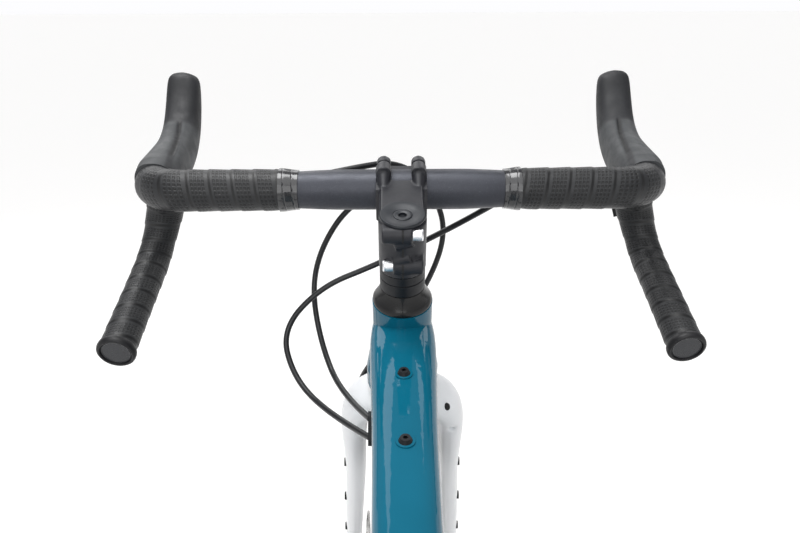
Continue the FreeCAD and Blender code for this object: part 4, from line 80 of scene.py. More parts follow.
class Shade:
    """A finish, with short ways to add and join its steps."""

    def __init__(self, name):
        self.material = bpy.data.materials.new(name)
        self.material.use_nodes = True
        self.tree = self.material.node_tree
        self.shader = self.tree.nodes["Principled BSDF"]

    def add(self, kind, **settings):
        node = self.tree.nodes.new(kind)
        for key, value in settings.items():
            setattr(node, key, value)
        return node

    def join(self, source, target):
        self.tree.links.new(source, target)

    def put(self, target, value):
        if hasattr(value, "node"):
            self.join(value, target)
        else:
            target.default_value = value

    def sum(self, operation, first, second=0.0):
        node = self.add("ShaderNodeMath", operation=operation)
        for socket, value in zip(node.inputs, (first, second)):
            self.put(socket, value)
        return node.outputs[0]

    def spread(self, value, low, high, to_low=0.0, to_high=1.0):
        node = self.add("ShaderNodeMapRange", interpolation_type="SMOOTHSTEP")
        for socket, item in zip(node.inputs, (value, low, high, to_low, to_high)):
            self.put(socket, item)
        return node.outputs[0]

    def place(self):
        return self.add("ShaderNodeTexCoord").outputs["Object"]

    def noise(self, scale, detail=3.0, rough=0.55):
        node = self.add("ShaderNodeTexNoise")
        self.join(self.place(), node.inputs["Vector"])
        node.inputs["Scale"].default_value = scale
        node.inputs["Detail"].default_value = detail
        node.inputs["Roughness"].default_value = rough
        return node.outputs["Fac"]

    def mix(self, share, first, second):
        node = self.add("ShaderNodeMix", data_type="RGBA")
        self.put(node.inputs[0], share)
        self.put(node.inputs[6], first)
        self.put(node.inputs[7], second)
        return node.outputs[2]

    def bump(self, height, strength, distance):
        node = self.add("ShaderNodeBump")
        node.inputs["Strength"].default_value = strength
        node.inputs["Distance"].default_value = distance
        self.join(height, node.inputs["Height"])
        self.join(node.outputs[0], self.shader.inputs["Normal"])

    def set(self, **values):
        for key, value in values.items():
            self.put(self.shader.inputs[key.replace("_", " ")], value)

    def patches(self, scale, low=0.0, high=1.0):
        return self.spread(self.noise(scale), *PATCH_RANGE, low, high)

    def cells(self, value, count):
        part = self.sum("FRACT", self.sum("MULTIPLY", value, count))
        return self.sum("ABSOLUTE", self.sum("SUBTRACT", part, CELL_MIDDLE))


FULL_LEVEL = 255
DARK_LIMIT = 0.04045
DARK_SLOPE = 12.92
CURVE_SHIFT = 0.055
CURVE_POWER = 2.4


def tone(red, green, blue):
    """A linear colour from screen levels."""
    levels = []
    for level in (red, green, blue):
        share = level / FULL_LEVEL
        if share <= DARK_LIMIT:
            levels.append(share / DARK_SLOPE)
        else:
            levels.append(((share + CURVE_SHIFT) / (1 + CURVE_SHIFT)) ** CURVE_POWER)
    return (*levels, 1.0)


COLOUR_RANGE = (0.35, 0.68)
GLOSS_PATCHES = 3
GRAIN_DETAIL = 4.0
GRAIN_ROUGH = 0.6
COAT_ROUGH = 0.06


def surface(name, light, dark, rough, metal, coat, grain, patch, relief, depth):
    """A finish with broad colour patches, a varied gloss and a fine surface grain."""
    shade = Shade(name)
    broad = shade.spread(shade.noise(patch), *COLOUR_RANGE)
    fine = shade.noise(grain, GRAIN_DETAIL, GRAIN_ROUGH)
    shade.set(Base_Color=shade.mix(broad, tone(*dark), tone(*light)), Metallic=metal)
    shade.set(Roughness=shade.patches(patch * GLOSS_PATCHES, *rough))
    if coat:
        shade.set(Coat_Weight=coat, Coat_Roughness=COAT_ROUGH)
    shade.bump(fine, relief, depth * MM)
    return shade


# Painted, metal, rubber and plastic finishes, each with its grain's depth in millimetres
# (name, light, dark, gloss, metal, coat, grain, patch, relief, depth)
FINISH_ROWS = (
    ("teal_paint", (13, 94, 118), (9, 89, 112), (0.4, 0.5), 0.0, 0.65, 2200.0, 9.0, 0.01, 0.2),
    ("white_paint", (246, 248, 250), (245, 247, 249), (0.3, 0.31), 0.0, 0.2, 2000.0, 12.0, 0.02, 0.2),
    ("black_paint", (26, 26, 28), (20, 20, 22), (0.25, 0.36), 0.0, 0.4, 1600.0, 30.0, 0.06, 0.2),
    ("black_metal", (42, 43, 45), (33, 34, 36), (0.34, 0.46), 0.6, 0.0, 1500.0, 40.0, 0.1, 0.2),
    ("drive_steel", (190, 190, 188), (160, 160, 158), (0.22, 0.4), 1.0, 0.0, 1400.0, 60.0, 0.08, 0.2),
    ("dark_steel", (86, 86, 88), (64, 64, 67), (0.3, 0.45), 0.9, 0.0, 1500.0, 60.0, 0.08, 0.2),
    ("bright_bolts", (236, 236, 238), (214, 215, 218), (0.3, 0.4), 1.0, 0.0, 1200.0, 80.0, 0.05, 0.2),
    ("moulded_plastic", (30, 30, 32), (23, 23, 25), (0.36, 0.5), 0.0, 0.0, 1800.0, 50.0, 0.15, 0.2),
    ("cable_cover", (33, 34, 36), (25, 26, 28), (0.28, 0.38), 0.0, 0.2, 2400.0, 60.0, 0.06, 0.2),
    ("tyre_rubber", (46, 45, 44), (36, 35, 35), (0.62, 0.8), 0.0, 0.0, 1500.0, 35.0, 0.3, 0.4),
    ("finishing_tape", (34, 35, 38), (26, 27, 30), (0.16, 0.24), 0.0, 0.5, 900.0, 60.0, 0.05, 0.1),
    ("plug_face", (34, 36, 41), (28, 30, 35), (0.22, 0.32), 0.2, 0.3, 1800.0, 50.0, 0.05, 0.2),
    # Painted shade for holes, sockets, slits and the fork's cable port
    ("painted_hole_shade", (9, 9, 10), (6, 6, 7), (0.7, 0.8), 0.0, 0.0, 900.0, 50.0, 0.05, 0.2),
    ("spacer_black", (17, 19, 23), (13, 15, 19), (0.4, 0.5), 0.0, 0.0, 2400.0, 40.0, 0.06, 0.2),
    ("cover_black", (11, 11, 12), (8, 8, 9), (0.26, 0.34), 0.0, 0.2, 2000.0, 30.0, 0.04, 0.2),
    ("cap_black", (38, 41, 46), (32, 35, 40), (0.32, 0.4), 0.1, 0.0, 2200.0, 40.0, 0.06, 0.2),
    ("cast_black", (36, 37, 42), (29, 30, 35), (0.38, 0.48), 0.15, 0.0, 2600.0, 40.0, 0.12, 0.2),
)
shades = [surface(*row) for row in FINISH_ROWS]
teal, white, black_paint, black_metal, steel, dark_steel, bright, plastic, cable = shades[:9]
rubber, gloss_tape, plug_face, painted_hole_shade, spacer_black, cone_black, cap_black, cast_black = shades[9:]
teal.set(Specular_IOR_Level=0.0, Coat_Roughness=0.02)

# Satin anodised alloy, with painted glints: bright specks in its colour stand in for sparkles of light
ALLOY_LIGHT = tone(60, 62, 69)
ALLOY_DARK = tone(52, 54, 61)
ALLOY_PAINTED_GLINT = tone(100, 103, 112)
PAINTED_GLINT_RANGE = (0.6, 0.74)
ALLOY_GRAIN = 0.0002


def alloy_with_painted_glints():
    """Satin anodised alloy with a fine grain of painted glints."""
    shade = Shade("satin_alloy")
    fine = shade.noise(scale=3200.0, detail=2.0, rough=0.5)
    base = shade.mix(shade.patches(30.0), ALLOY_DARK, ALLOY_LIGHT)
    # Painted glints: bright specks mixed into the colour
    painted_glints = shade.spread(fine, *PAINTED_GLINT_RANGE)
    shade.set(Base_Color=shade.mix(painted_glints, base, ALLOY_PAINTED_GLINT), Metallic=0.5)
    shade.set(Roughness=shade.patches(120.0, low=0.36, high=0.48))
    shade.bump(fine, strength=0.18, distance=ALLOY_GRAIN)
    return shade


alloy = alloy_with_painted_glints()

# Bar tape: rows of small pressed dots between smooth margins, in shares of one turn
TAPE_COLUMNS = 6
TAPE_ROWS = 32
TAPE_PITCH = 17.3
TAPE_LIGHT = tone(38, 39, 41)
TAPE_DARK = tone(30, 31, 33)
# Painted shade, darkening the pressed dots and the step at each overlap
TAPE_PAINTED_SHADE = tone(12, 12, 13)
DOTS_START = (0.16, 0.2)
DOTS_END = (0.8, 0.84)
DOT_ACROSS = (0.2, 0.36)
DOT_ALONG = (0.24, 0.38)
SEAM_START = (0.89, 0.93)
SEAM_END = (0.02, 0.05)
PAINTED_SHADE_SHARE = 0.85
GRAIN_SHARE = 0.12
DOT_DEPTH = 0.0008


def tape_finish():
    """Wrapped handlebar tape: rows of small pressed dots and a step at each overlap, both darkened with
    painted shade.
    """
    shade = Shade("bar_tape_wrap")
    wrap = shade.add("ShaderNodeUVMap", uv_map="wrap")
    split = shade.add("ShaderNodeSeparateXYZ")
    shade.join(wrap.outputs[0], split.inputs[0])
    along, around = split.outputs[0], split.outputs[1]
    turn = shade.sum("FRACT", shade.sum("ADD", along, around))
    inside = shade.sum("MULTIPLY", shade.spread(turn, *DOTS_START), shade.spread(turn, *DOTS_END, *FALL))
    column = shade.spread(shade.cells(turn, TAPE_COLUMNS), *DOT_ACROSS, *FALL)
    row = shade.spread(shade.cells(around, TAPE_ROWS), *DOT_ALONG, *FALL)
    dot = shade.sum("MULTIPLY", shade.sum("MULTIPLY", column, row), inside)
    seam = shade.sum("MAXIMUM", shade.spread(turn, *SEAM_START), shade.spread(turn, *SEAM_END, *FALL))
    base = shade.mix(shade.patches(55.0), TAPE_DARK, TAPE_LIGHT)
    # Painted shade in the pressed dots and at each overlap's step
    for mark in (dot, seam):
        base = shade.mix(shade.sum("MULTIPLY", mark, PAINTED_SHADE_SHARE), base, TAPE_PAINTED_SHADE)
    shade.set(Base_Color=base, Roughness=shade.patches(90.0, low=0.38, high=0.5))
    grain = shade.sum("MULTIPLY", shade.noise(scale=1800.0, rough=0.6), GRAIN_SHARE)
    shade.bump(shade.sum("SUBTRACT", grain, dot), strength=0.8, distance=DOT_DEPTH)
    return shade


tape_shade = tape_finish()

# Lever hood rubber
HORN_LIGHT = tone(34, 35, 38)
HORN_DARK = tone(27, 28, 31)
PALM_LIGHT = tone(62, 64, 66)
PALM_DARK = tone(54, 56, 58)
# Painted shade in the groove between the palm pads
GROOVE_PAINTED_SHADE = tone(16, 17, 18)
GROOVE_SHADE_SHARE = 0.95
HOOD_GRAIN = 0.0003


def hood_finish():
    """Lever hood rubber: a darker horn, lighter palm pads and a groove between them darkened with painted
    shade.
    """
    shade = Shade("hood_rubber")
    pad = shade.add("ShaderNodeAttribute", attribute_name="pad").outputs["Fac"]
    groove = shade.add("ShaderNodeAttribute", attribute_name="groove").outputs["Fac"]
    patches = shade.patches(40.0)
    horn = shade.mix(patches, HORN_DARK, HORN_LIGHT)
    palm = shade.mix(patches, PALM_DARK, PALM_LIGHT)
    base = shade.mix(pad, horn, palm)
    # Painted shade in the groove
    base = shade.mix(shade.sum("MULTIPLY", groove, GROOVE_SHADE_SHARE), base, GROOVE_PAINTED_SHADE)
    shade.set(Base_Color=base, Roughness=shade.patches(110.0, low=0.5, high=0.64))
    shade.bump(shade.noise(scale=2600.0, rough=0.6), strength=0.22, distance=HOOD_GRAIN)
    return shade


hood_shade = hood_finish()

# Saddle cover
COVER_LIGHT = tone(45, 45, 47)
COVER_DARK = tone(36, 36, 38)
# Painted shade in the grain's creases
CREASE_PAINTED_SHADE = tone(25, 25, 26)
CREASE_RANGE = (0.0, 0.12)
CREASE_SCALE = 520.0
CREASE_DEPTH = 0.0003


def saddle_finish():
    """Saddle cover with a fine leather-like grain, its creases darkened with painted shade."""
    shade = Shade("saddle_cover")
    cells = shade.add("ShaderNodeTexVoronoi", feature="DISTANCE_TO_EDGE")
    shade.join(shade.place(), cells.inputs["Vector"])
    cells.inputs["Scale"].default_value = CREASE_SCALE
    crease = shade.spread(cells.outputs["Distance"], *CREASE_RANGE)
    base = shade.mix(shade.patches(18.0), COVER_DARK, COVER_LIGHT)
    # Painted shade darkens the creases
    shade.set(Base_Color=shade.mix(crease, CREASE_PAINTED_SHADE, base))
    shade.set(Roughness=shade.patches(70.0, low=0.46, high=0.6))
    shade.bump(crease, strength=0.3, distance=CREASE_DEPTH)
    return shade


saddle_shade = saddle_finish()

# Matt blacks reflect little
for shade in (plastic, rubber, cable, spacer_black, cone_black, plug_face):
    shade.set(Specular_IOR_Level=0.28)
for shade in (cap_black, cast_black, tape_shade, hood_shade):
    shade.set(Specular_IOR_Level=0.4)


def coat(piece, shade):
    """Gives a piece one finish."""
    piece.data.materials.clear()
    piece.data.materials.append(shade.material)


FINISHES = (
    (teal, "head_tube top_tube down_tube seat_tube bottom_bracket_shell chain_stays seat_stays"),
    (white, "fork"),
    (alloy, "handlebar stem stem_faceplate top_cap seatpost saddle_clamp"),
    (black_paint, "headset_spacers front_rim rear_rim crank_arms"),
    (black_metal, "rear_dropouts seat_clamp front_hub rear_hub front_brake_caliper rear_brake_caliper"),
    (black_metal, "left_brake_lever right_brake_lever derailleur_mount derailleur_outer_link"),
    (black_metal, "derailleur_inner_link derailleur_knuckle derailleur_cage"),
    (black_metal, "front_thru_axle rear_thru_axle chainring"),
    (steel, "frame_bearings front_rotor rear_rotor cassette saddle_rails pedal_axles"),
    (dark_steel, "chain front_spokes rear_spokes"),
    (spacer_black, "fork_bolts frame_fittings"),
    (bright, "stem_bolts"),
    (plastic, "left_pedal right_pedal guide_pulley tension_pulley shift_paddle bar_end_plugs"),
    (cable, "front_brake_hose rear_brake_hose shift_housing"),
    (rubber, "front_tyre rear_tyre lever_hoods bar_tape"),
    (saddle_shade, "saddle"),
)
for shade, names in FINISHES:
    for name in names.split():
        coat(nodes[name], shade)


def smooth(piece, angle=35):
    """Shades a piece smooth but for its real edges."""
    for face in piece.data.polygons:
        face.use_smooth = True
    piece.data.set_sharp_from_angle(angle=math.radians(angle))


for name in nodes:
    smooth(nodes[name])


def linked(name, data):
    """A named object in the scene."""
    piece = bpy.data.objects.new(name, data)
    scene.collection.objects.link(piece)
    return piece


def new_piece(name, points, faces, shade, body):
    """A mesh piece from points in millimetres, riding on a body."""
    mesh = bpy.data.meshes.new(name)
    mesh.from_pydata([tuple(point * MM) for point in points], [], faces)
    mesh.update()
    piece = linked(name, mesh)
    coat(piece, shade)
    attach(piece, body)
    return piece


def side_faces(rows, around):
    """Four-sided faces between the neighbouring rings of a tube."""
    faces = []
    for i in range(rows - 1):
        low = i * around
        high = low + around
        for k in range(around):
            after = (k + 1) % around
            faces.append((low + k, low + after, high + after, high + k))
    return faces


def end_face(row, around):
    """One face over a whole ring."""
    return tuple(row * around + k for k in range(around))


def tube_faces(rows, around):
    """Faces of a closed tube of rings, with both ends filled."""
    return [*side_faces(rows, around), end_face(0, around)[::-1], end_face(rows - 1, around)]


def spoke(angle):
    """The direction square to the wheel axles at an angle."""
    return Vector((0, math.cos(angle), math.sin(angle)))


def squared(value, fullness):
    """A point of a rounded square, from a point of a circle."""
    return math.copysign(abs(value) ** (2 / fullness), value)


def ease(value, low, high):
    """A smooth step from 0 to 1 between two values."""
    share = min(max((value - low) / (high - low), 0), 1)
    return share * share * (3 - 2 * share)


# Handlebar tape, wound from the drop's end to beside the stem
BAR_CORNERS = ((82, 0, 0), (201, 0, 0), (204, 86, -4), (222, 74, -74), (226.9, -36.7, -121.1))
BAR_BENDS = (35, 38, 45)
TAPE_TOP = 16.5
TAPE_DROP = 14.3
TAPE_LAP = 0.55
TAPE_CREST = 0.93
TAPE_TAPER = 1.6
TAPE_TAPER_RUN = 20
TAPE_STEP = 0.9
TAPE_AROUND = 72
TAPE_END_GAP = 2.2
RIPPLES = ((0.12, 3, 31), (0.1, 2, -17))
HOOD_PLACE = 196
DROP_PLACE = 236


def bar_corners(side):
    """The corners of one half of the bar's centre line."""
    return [BAR_MID + Vector((side * x, y, z)) for x, y, z in BAR_CORNERS]


def bar_line(side):
    """Points along one half of the bar's centre line, a fixed step apart, with their distances."""
    corners = bar_corners(side)
    pieces = []
    start = corners[0]
    for bend, before, corner, after in zip(BAR_BENDS, corners, corners[1:], corners[2:]):
        back = (before - corner).normalized()
        on = (after - corner).normalized()
        half = (math.pi - back.angle(on)) / 2
        reach = bend * math.tan(half)
        pieces.append((start, corner + back * reach, None))
        centre = corner + (back + on).normalized() * (bend / math.cos(half))
        pieces.append((corner + back * reach, corner + on * reach, centre))
        start = corner + on * reach
    last_way = (corners[-1] - corners[-2]).normalized()
    pieces.append((start, corners[-1] - last_way * TAPE_END_GAP, None))
    line = []
    travelled = 0.0
    for first, last, centre in pieces:
        if centre is None:
            length = (last - first).length
        else:
            spin = (first - centre).angle(last - centre)
            length = spin * (first - centre).length
            axis = (first - centre).cross(last - centre).normalized()
        count = max(2, round(length / TAPE_STEP))
        for i in range(count):
            share = i / count
            if centre is None:
                point = first.lerp(last, share)
            else:
                point = centre + Matrix.Rotation(spin * share, 3, axis) @ (first - centre)
            line.append((travelled + length * share, point))
        travelled += length
    line.append((travelled, pieces[-1][1]))
    return line


def lap_height(turn):
    """Height over one turn of tape: a slow rise, then a quick fall to the next turn's edge."""
    if turn < TAPE_CREST:
        return TAPE_LAP * (turn - CELL_MIDDLE)
    fall = (turn - TAPE_CREST) / (1 - TAPE_CREST)
    return TAPE_LAP * (TAPE_CREST - CELL_MIDDLE - fall * TAPE_CREST)


def tape(side, name):
    """One side's tape as a tube whose overlaps run round it as a spiral."""
    line = bar_line(side)
    points = []
    marks = []
    normal = UP.copy()
    for i, (along, centre) in enumerate(line):
        way = (line[min(i + 1, len(line) - 1)][1] - line[max(i - 1, 0)][1]).normalized()
        normal = (normal - way * normal.dot(way)).normalized()
        other = way.cross(normal)
        radius = TAPE_TOP + (TAPE_DROP - TAPE_TOP) * ease(along, HOOD_PLACE, DROP_PLACE)
        radius -= TAPE_TAPER * (1 - ease(along, 0, TAPE_TAPER_RUN))
        for k in range(TAPE_AROUND):
            angle = math.tau * k / TAPE_AROUND
            height = radius + lap_height((along / TAPE_PITCH + side * k / TAPE_AROUND) % 1)
            for size, count, run in RIPPLES:
                height += size * math.sin(count * angle + along / run)
            points.append(centre + (normal * math.cos(angle) + other * math.sin(angle)) * height)
        marks.append(along / TAPE_PITCH)
    faces = tube_faces(len(line), TAPE_AROUND)
    piece = new_piece(name, points, faces, tape_shade, "steering_assembly")
    layer = piece.data.uv_layers.new(name="wrap")
    for face in piece.data.polygons:
        ring_starts = [piece.data.loops[loop].vertex_index % TAPE_AROUND for loop in face.loop_indices]
        wraps = max(ring_starts) - min(ring_starts) > TAPE_AROUND / 2
        for loop, spot in zip(face.loop_indices, ring_starts):
            vertex = piece.data.loops[loop].vertex_index
            around = spot / TAPE_AROUND + (1 if wraps and spot < TAPE_AROUND / 2 else 0)
            layer.data[loop].uv = (marks[vertex // TAPE_AROUND], side * around)
    smooth(piece, angle=50)
    return piece


for side, hand in SIDES:
    wrap = tape(side, "tape_" + hand)
    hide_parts("bar_tape")

# The bare middle of the bar: full round at the clamp, tapering in under the tape
BAR_PROFILE = (
    (90, 14.0), (82, 14.5), (70, 15.1), (58, 15.6), (50, 15.85), (45, 15.9), (30, 15.9), (0, 15.9),
)
BAR_AROUND = 96


def bar_middle():
    """The uncovered middle of the handlebar."""
    profile = [(-x, r) for x, r in BAR_PROFILE] + [(x, r) for x, r in reversed(BAR_PROFILE[:-1])]
    points = []
    for x, radius in profile:
        for k in range(BAR_AROUND):
            points.append(BAR_MID + RIGHT * x + spoke(math.tau * k / BAR_AROUND) * radius)
    faces = tube_faces(len(profile), BAR_AROUND)
    piece = new_piece("bar_centre", points, faces, alloy, "steering_assembly")
    smooth(piece, angle=30)
    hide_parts("handlebar")


bar_middle()

# Finishing tape beside the stem: a few turns of glossy tape with creases
BAND_WIDTH = {-1: 15, 1: 13}
BAND_AROUND = 64
BAND_STEPS = 40
BAND_START = 1.5
BAND_SINK = 1.0
BAND_RISE = 1.5
BAND_TURNS = 2.2
BAND_LAYER = 0.3
BAND_EDGE = 0.12


def band(side, name):
    """A short creased wrap of glossy tape over the inner end of the bar tape."""
    points = []
    for i in range(BAND_STEPS + 1):
        share = i / BAND_STEPS
        out = BAR_CORNERS[0][0] - BAND_START + BAND_WIDTH[side] * share
        slope = TAPE_TOP - BAND_SINK + BAND_RISE * ease(share, 0, 1)
        for k in range(BAND_AROUND):
            angle = math.tau * k / BAND_AROUND
            layer = BAND_LAYER * ease((share * BAND_TURNS + angle / math.tau) % 1, 0, BAND_EDGE)
            points.append(BAR_MID + RIGHT * (side * out) + spoke(angle) * (slope + layer))
    faces = side_faces(BAND_STEPS + 1, BAND_AROUND)
    faces += [end_face(0, BAND_AROUND), end_face(BAND_STEPS, BAND_AROUND)]
    piece = new_piece(name, points, faces, gloss_tape, "steering_assembly")
    smooth(piece, angle=60)


for side, hand in SIDES:
    band(side, "finishing_band_" + hand)

# Lever hoods: (reach, rise, shift in, half width, half depth) from the sleeve on the bar to the horn's tip
HOOD_STATIONS = (
    (28, 1.0, 0.0, 15.4, 15.4), (36, 1.5, 0.0, 16.8, 16.9), (43, 2.0, 0.0, 17.6, 18.2),
    (60, 4.0, 0.4, 17.6, 19.2), (77, 6.5, 0.6, 17.1, 19.8), (95, 10.0, 0.4, 16.6, 19.8),
    (112, 16.0, 0.0, 16.4, 19.4), (126, 25.0, -0.3, 16.3, 18.0), (136, 35.0, -0.6, 16.2, 16.4),
    (144, 47.0, -0.8, 16.0, 14.6), (149, 57.0, -0.9, 15.7, 13.0), (152, 65.0, -0.9, 15.2, 11.8),
    (154, 71.0, -0.8, 14.4, 10.6), (155, 74.5, -0.6, 13.0, 9.2), (155.5, 76.8, -0.4, 10.6, 7.2),
    (155.8, 78.0, -0.2, 6.0, 4.0),
)
HOOD_OUT = 203.5
HOOD_FULL = 2.5
HOOD_STEPS = 5
HOOD_AROUND = 160
HOOD_TOP = (0.2, 0.6)
HORN_LEVELS = (60, 78)
HORN_SLANT = 2.6
HORN_HALF = 14
PALM_SLOPE = 0.4
PALM_END = (128, 140)
PALM_SWELL = 0.9
SWELL_START = (0.5, 5)
SWELL_END = (9, 15)
PAD_EDGE = (1, 4)
GROOVE_DEPTH = 0.9
GROOVE_EDGE = (0.65, 2.08)
GROOVE_START = (46, 56)
GROOVE_SLOPE = 0.3
GROOVE_END = (128, 136)
GROOVE_SHIFT = 1.4
GROOVE_DRIFT = 9
GROOVE_TIP = 136
GROOVE_RUN = 86


def eased_rows(rows, steps):
    """Rows on a smooth line through the given rows."""
    line = []
    for i in range(len(rows) - 1):
        four = [rows[max(i - 1, 0)], rows[i], rows[i + 1], rows[min(i + 2, len(rows) - 1)]]
        for k in range(steps):
            u = k / steps
            row = []
            for a, b, c, d in zip(*four):
                curve = 2 * a - 5 * b + 4 * c - d
                twist = 3 * (b - c) + d - a
                row.append(b + 0.5 * u * (c - a + u * (curve + u * twist)))
            line.append(row)
    line.append(list(rows[-1]))
    return line


def hood(side, name):
    """One hood: a sleeve over the bar that rises into the horn, with two palm pads and a groove."""
    rows = eased_rows(HOOD_STATIONS, HOOD_STEPS)
    spots = [Vector((side * (HOOD_OUT - row[2]), row[0], row[1])) for row in rows]
    points = []
    pads = []
    grooves = []
    for i, (reach, rise, _, half_width, half_depth) in enumerate(rows):
        run = (spots[min(i + 1, len(rows) - 1)] - spots[max(i - 1, 0)]).normalized()
        lift = RIGHT.cross(run).normalized()
        slant = HORN_SLANT * ease(rise, *HORN_LEVELS)
        palm = 1 - ease(reach + PALM_SLOPE * rise, *PALM_END)
        grooved = ease(reach, *GROOVE_START) * (1 - ease(reach + GROOVE_SLOPE * rise, *GROOVE_END))
        drift = GROOVE_SHIFT + GROOVE_DRIFT * (GROOVE_TIP - reach) / GROOVE_RUN
        for k in range(HOOD_AROUND):
            angle = math.tau * k / HOOD_AROUND
            out = squared(math.cos(angle), HOOD_FULL) * half_width
            high = squared(math.sin(angle), HOOD_FULL) * half_depth
            top = ease(math.sin(angle), *HOOD_TOP) * grooved
            off = abs(out + drift)
            cut = (1 - ease(off, *GROOVE_EDGE)) * top
            swell = PALM_SWELL * palm * top * ease(off, *SWELL_START) * (1 - ease(off, *SWELL_END))
            spot = spots[i] + RIGHT * (side * out) + lift * (high - cut * GROOVE_DEPTH + swell)
            spot.z -= slant * max(0, -out) / HORN_HALF
            points.append(BAR_MID + spot)
            pads.append(palm * ease(off, *PAD_EDGE))
            grooves.append(cut)
    faces = tube_faces(len(rows), HOOD_AROUND)
    if side > 0:
        faces = [face[::-1] for face in faces]
    piece = new_piece(name, points, faces, hood_shade, "steering_assembly")
    for label, values in (("pad", pads), ("groove", grooves)):
        piece.data.attributes.new(label, "FLOAT", "POINT").data.foreach_set("value", values)
    smooth(piece, angle=50)
    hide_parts("lever_hoods")


for side, hand in SIDES:
    hood(side, "hood_" + hand)


# Stem: cast arm with a split steerer clamp, sunk pinch bolts and a bolted faceplate
ROD_AROUND = 64


def add_rod(mesh, first, last, radius, end_radius=None):
    """Adds a capped round bar between two points."""
    way = last - first
    place = Matrix.Translation((first + last) / 2 * MM) @ UP.rotation_difference(way).to_matrix().to_4x4()
    tip = radius if end_radius is None else end_radius
    sizes = dict(radius1=radius * MM, radius2=tip * MM, depth=way.length * MM)
    bmesh.ops.create_cone(mesh, cap_ends=True, segments=ROD_AROUND, matrix=place, **sizes)


def add_block(mesh, centre, along, upward, halves):
    """Adds a block with free directions and half sizes across, along and upward."""
    across = along.cross(upward).normalized()
    columns = (across * halves[0], along.normalized() * halves[1], upward.normalized() * halves[2])
    turn = Matrix(columns).transposed().to_4x4()
    scale = Matrix.Scale(2 * MM, 4)
    bmesh.ops.create_cube(mesh, size=1, matrix=Matrix.Translation(centre * MM) @ scale @ turn)


def built(name, build):
    """A piece whose simple forms are added by a function."""
    mesh = bpy.data.meshes.new(name)
    work = bmesh.new()
    build(work)
    work.to_mesh(mesh)
    work.free()
    return linked(name, mesh)


def as_mesh(piece):
    """A piece's finished form as a new mesh."""
    bpy.context.view_layer.update()
    return bpy.data.meshes.new_from_object(piece.evaluated_get(bpy.context.evaluated_depsgraph_get()))


def evened(piece, voxel, rounds, swell=0):
    """Gives a piece one even skin with softened edges, swollen by a little."""
    even = piece.modifiers.new("even", "REMESH")
    even.mode = "VOXEL"
    even.voxel_size = voxel * MM
    soften = piece.modifiers.new("soften", "SMOOTH")
    soften.iterations = rounds
    if swell:
        grow = piece.modifiers.new("swell", "DISPLACE")
        grow.strength = swell * MM
        grow.mid_level = 0
    piece.data = as_mesh(piece)
    piece.modifiers.clear()
    for face in piece.data.polygons:
        face.use_smooth = True


def on_steering(piece, shade):
    """Finishes a piece that turns with the fork and bar."""
    coat(piece, shade)
    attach(piece, "steering_assembly")
    return piece


def cast(name, build, rounds, shade):
    """One cast piece: the union of simple forms with softened edges."""
    piece = built(name, build)
    evened(piece, CAST_VOXEL, rounds)
    return on_steering(piece, shade)


CAST_VOXEL = 0.7
STEM_ROUNDS = 8
PLATE_ROUNDS = 5
CLAMP_RADIUS = 17.0
CLAMP_HALF = 21.3
CLAMP_TOP_TRIM = 1
ARM_MIDDLE = STEM_LENGTH * 0.44
ARM_HALF = STEM_LENGTH * 0.38
ARM_SECTIONS = ((15.6, 15.6), (17.0, 12.5))
PINCH_LEVELS = ((-1, -11.2), (1, 15.2))
PINCH_BACK = 14.0
LUG_RADIUS = 6.2
LUG_LONG = 14.6
LUG_SHORT = 6.9
LUG_INSET = 9
LUG_SPREAD = 8
LUG_TIP_SPREAD = 4
LUG_RIB_RADIUS = 4.5
WEB_AHEAD = 6
WEB_HALF = 6
BOLT_OUT = 13.4
BOLT_LEVEL = 20.2
BOSS_RADIUS = 5.6
BOSS_REAR = 13.0
BOSS_FRONT = 8.0
HEEL_DROP = 3
HEEL_TIP_DROP = 4
HEEL_TRIM = 0.4
TAIL_START = 2
TAIL_LENGTH = 14
TAIL_DROP = 7
TAIL_TIP = 3
JAW_RADIUS = 20.2
JAW_HALF = 19.6
JAW_INNER = 8.5
JAW_TRIM = 1.2
JAW_CORE = 15.2
JAW_BACK = JAW_RADIUS * 0.75
JAW_BACK_HALF = JAW_RADIUS * 0.5
JAW_BACK_RISE = 13.5
SPLIT_HALF = 0.6
PLATE_AHEAD = 12
PLATE_HALVES = (JAW_HALF, 8, 11)
PLATE_LUG_AHEAD = 5
PLATE_LUG_DROP = 6
PLATE_LUG_HALVES = (BOSS_RADIUS - 1, 3, 6)


def bolt_spots():
    """The faceplate bolts' levels and places."""
    for side in (-1, 1):
        for level in (-1, 1):
            yield level, BAR_MID + RIGHT * (side * BOLT_OUT) + STEM_UP * (level * BOLT_LEVEL)


def pinch_spots():
    """The pinch bolts' sides and places."""
    for side, rise in PINCH_LEVELS:
        yield side, STEM_MID + STEER_UP * rise - STEER_AHEAD * PINCH_BACK


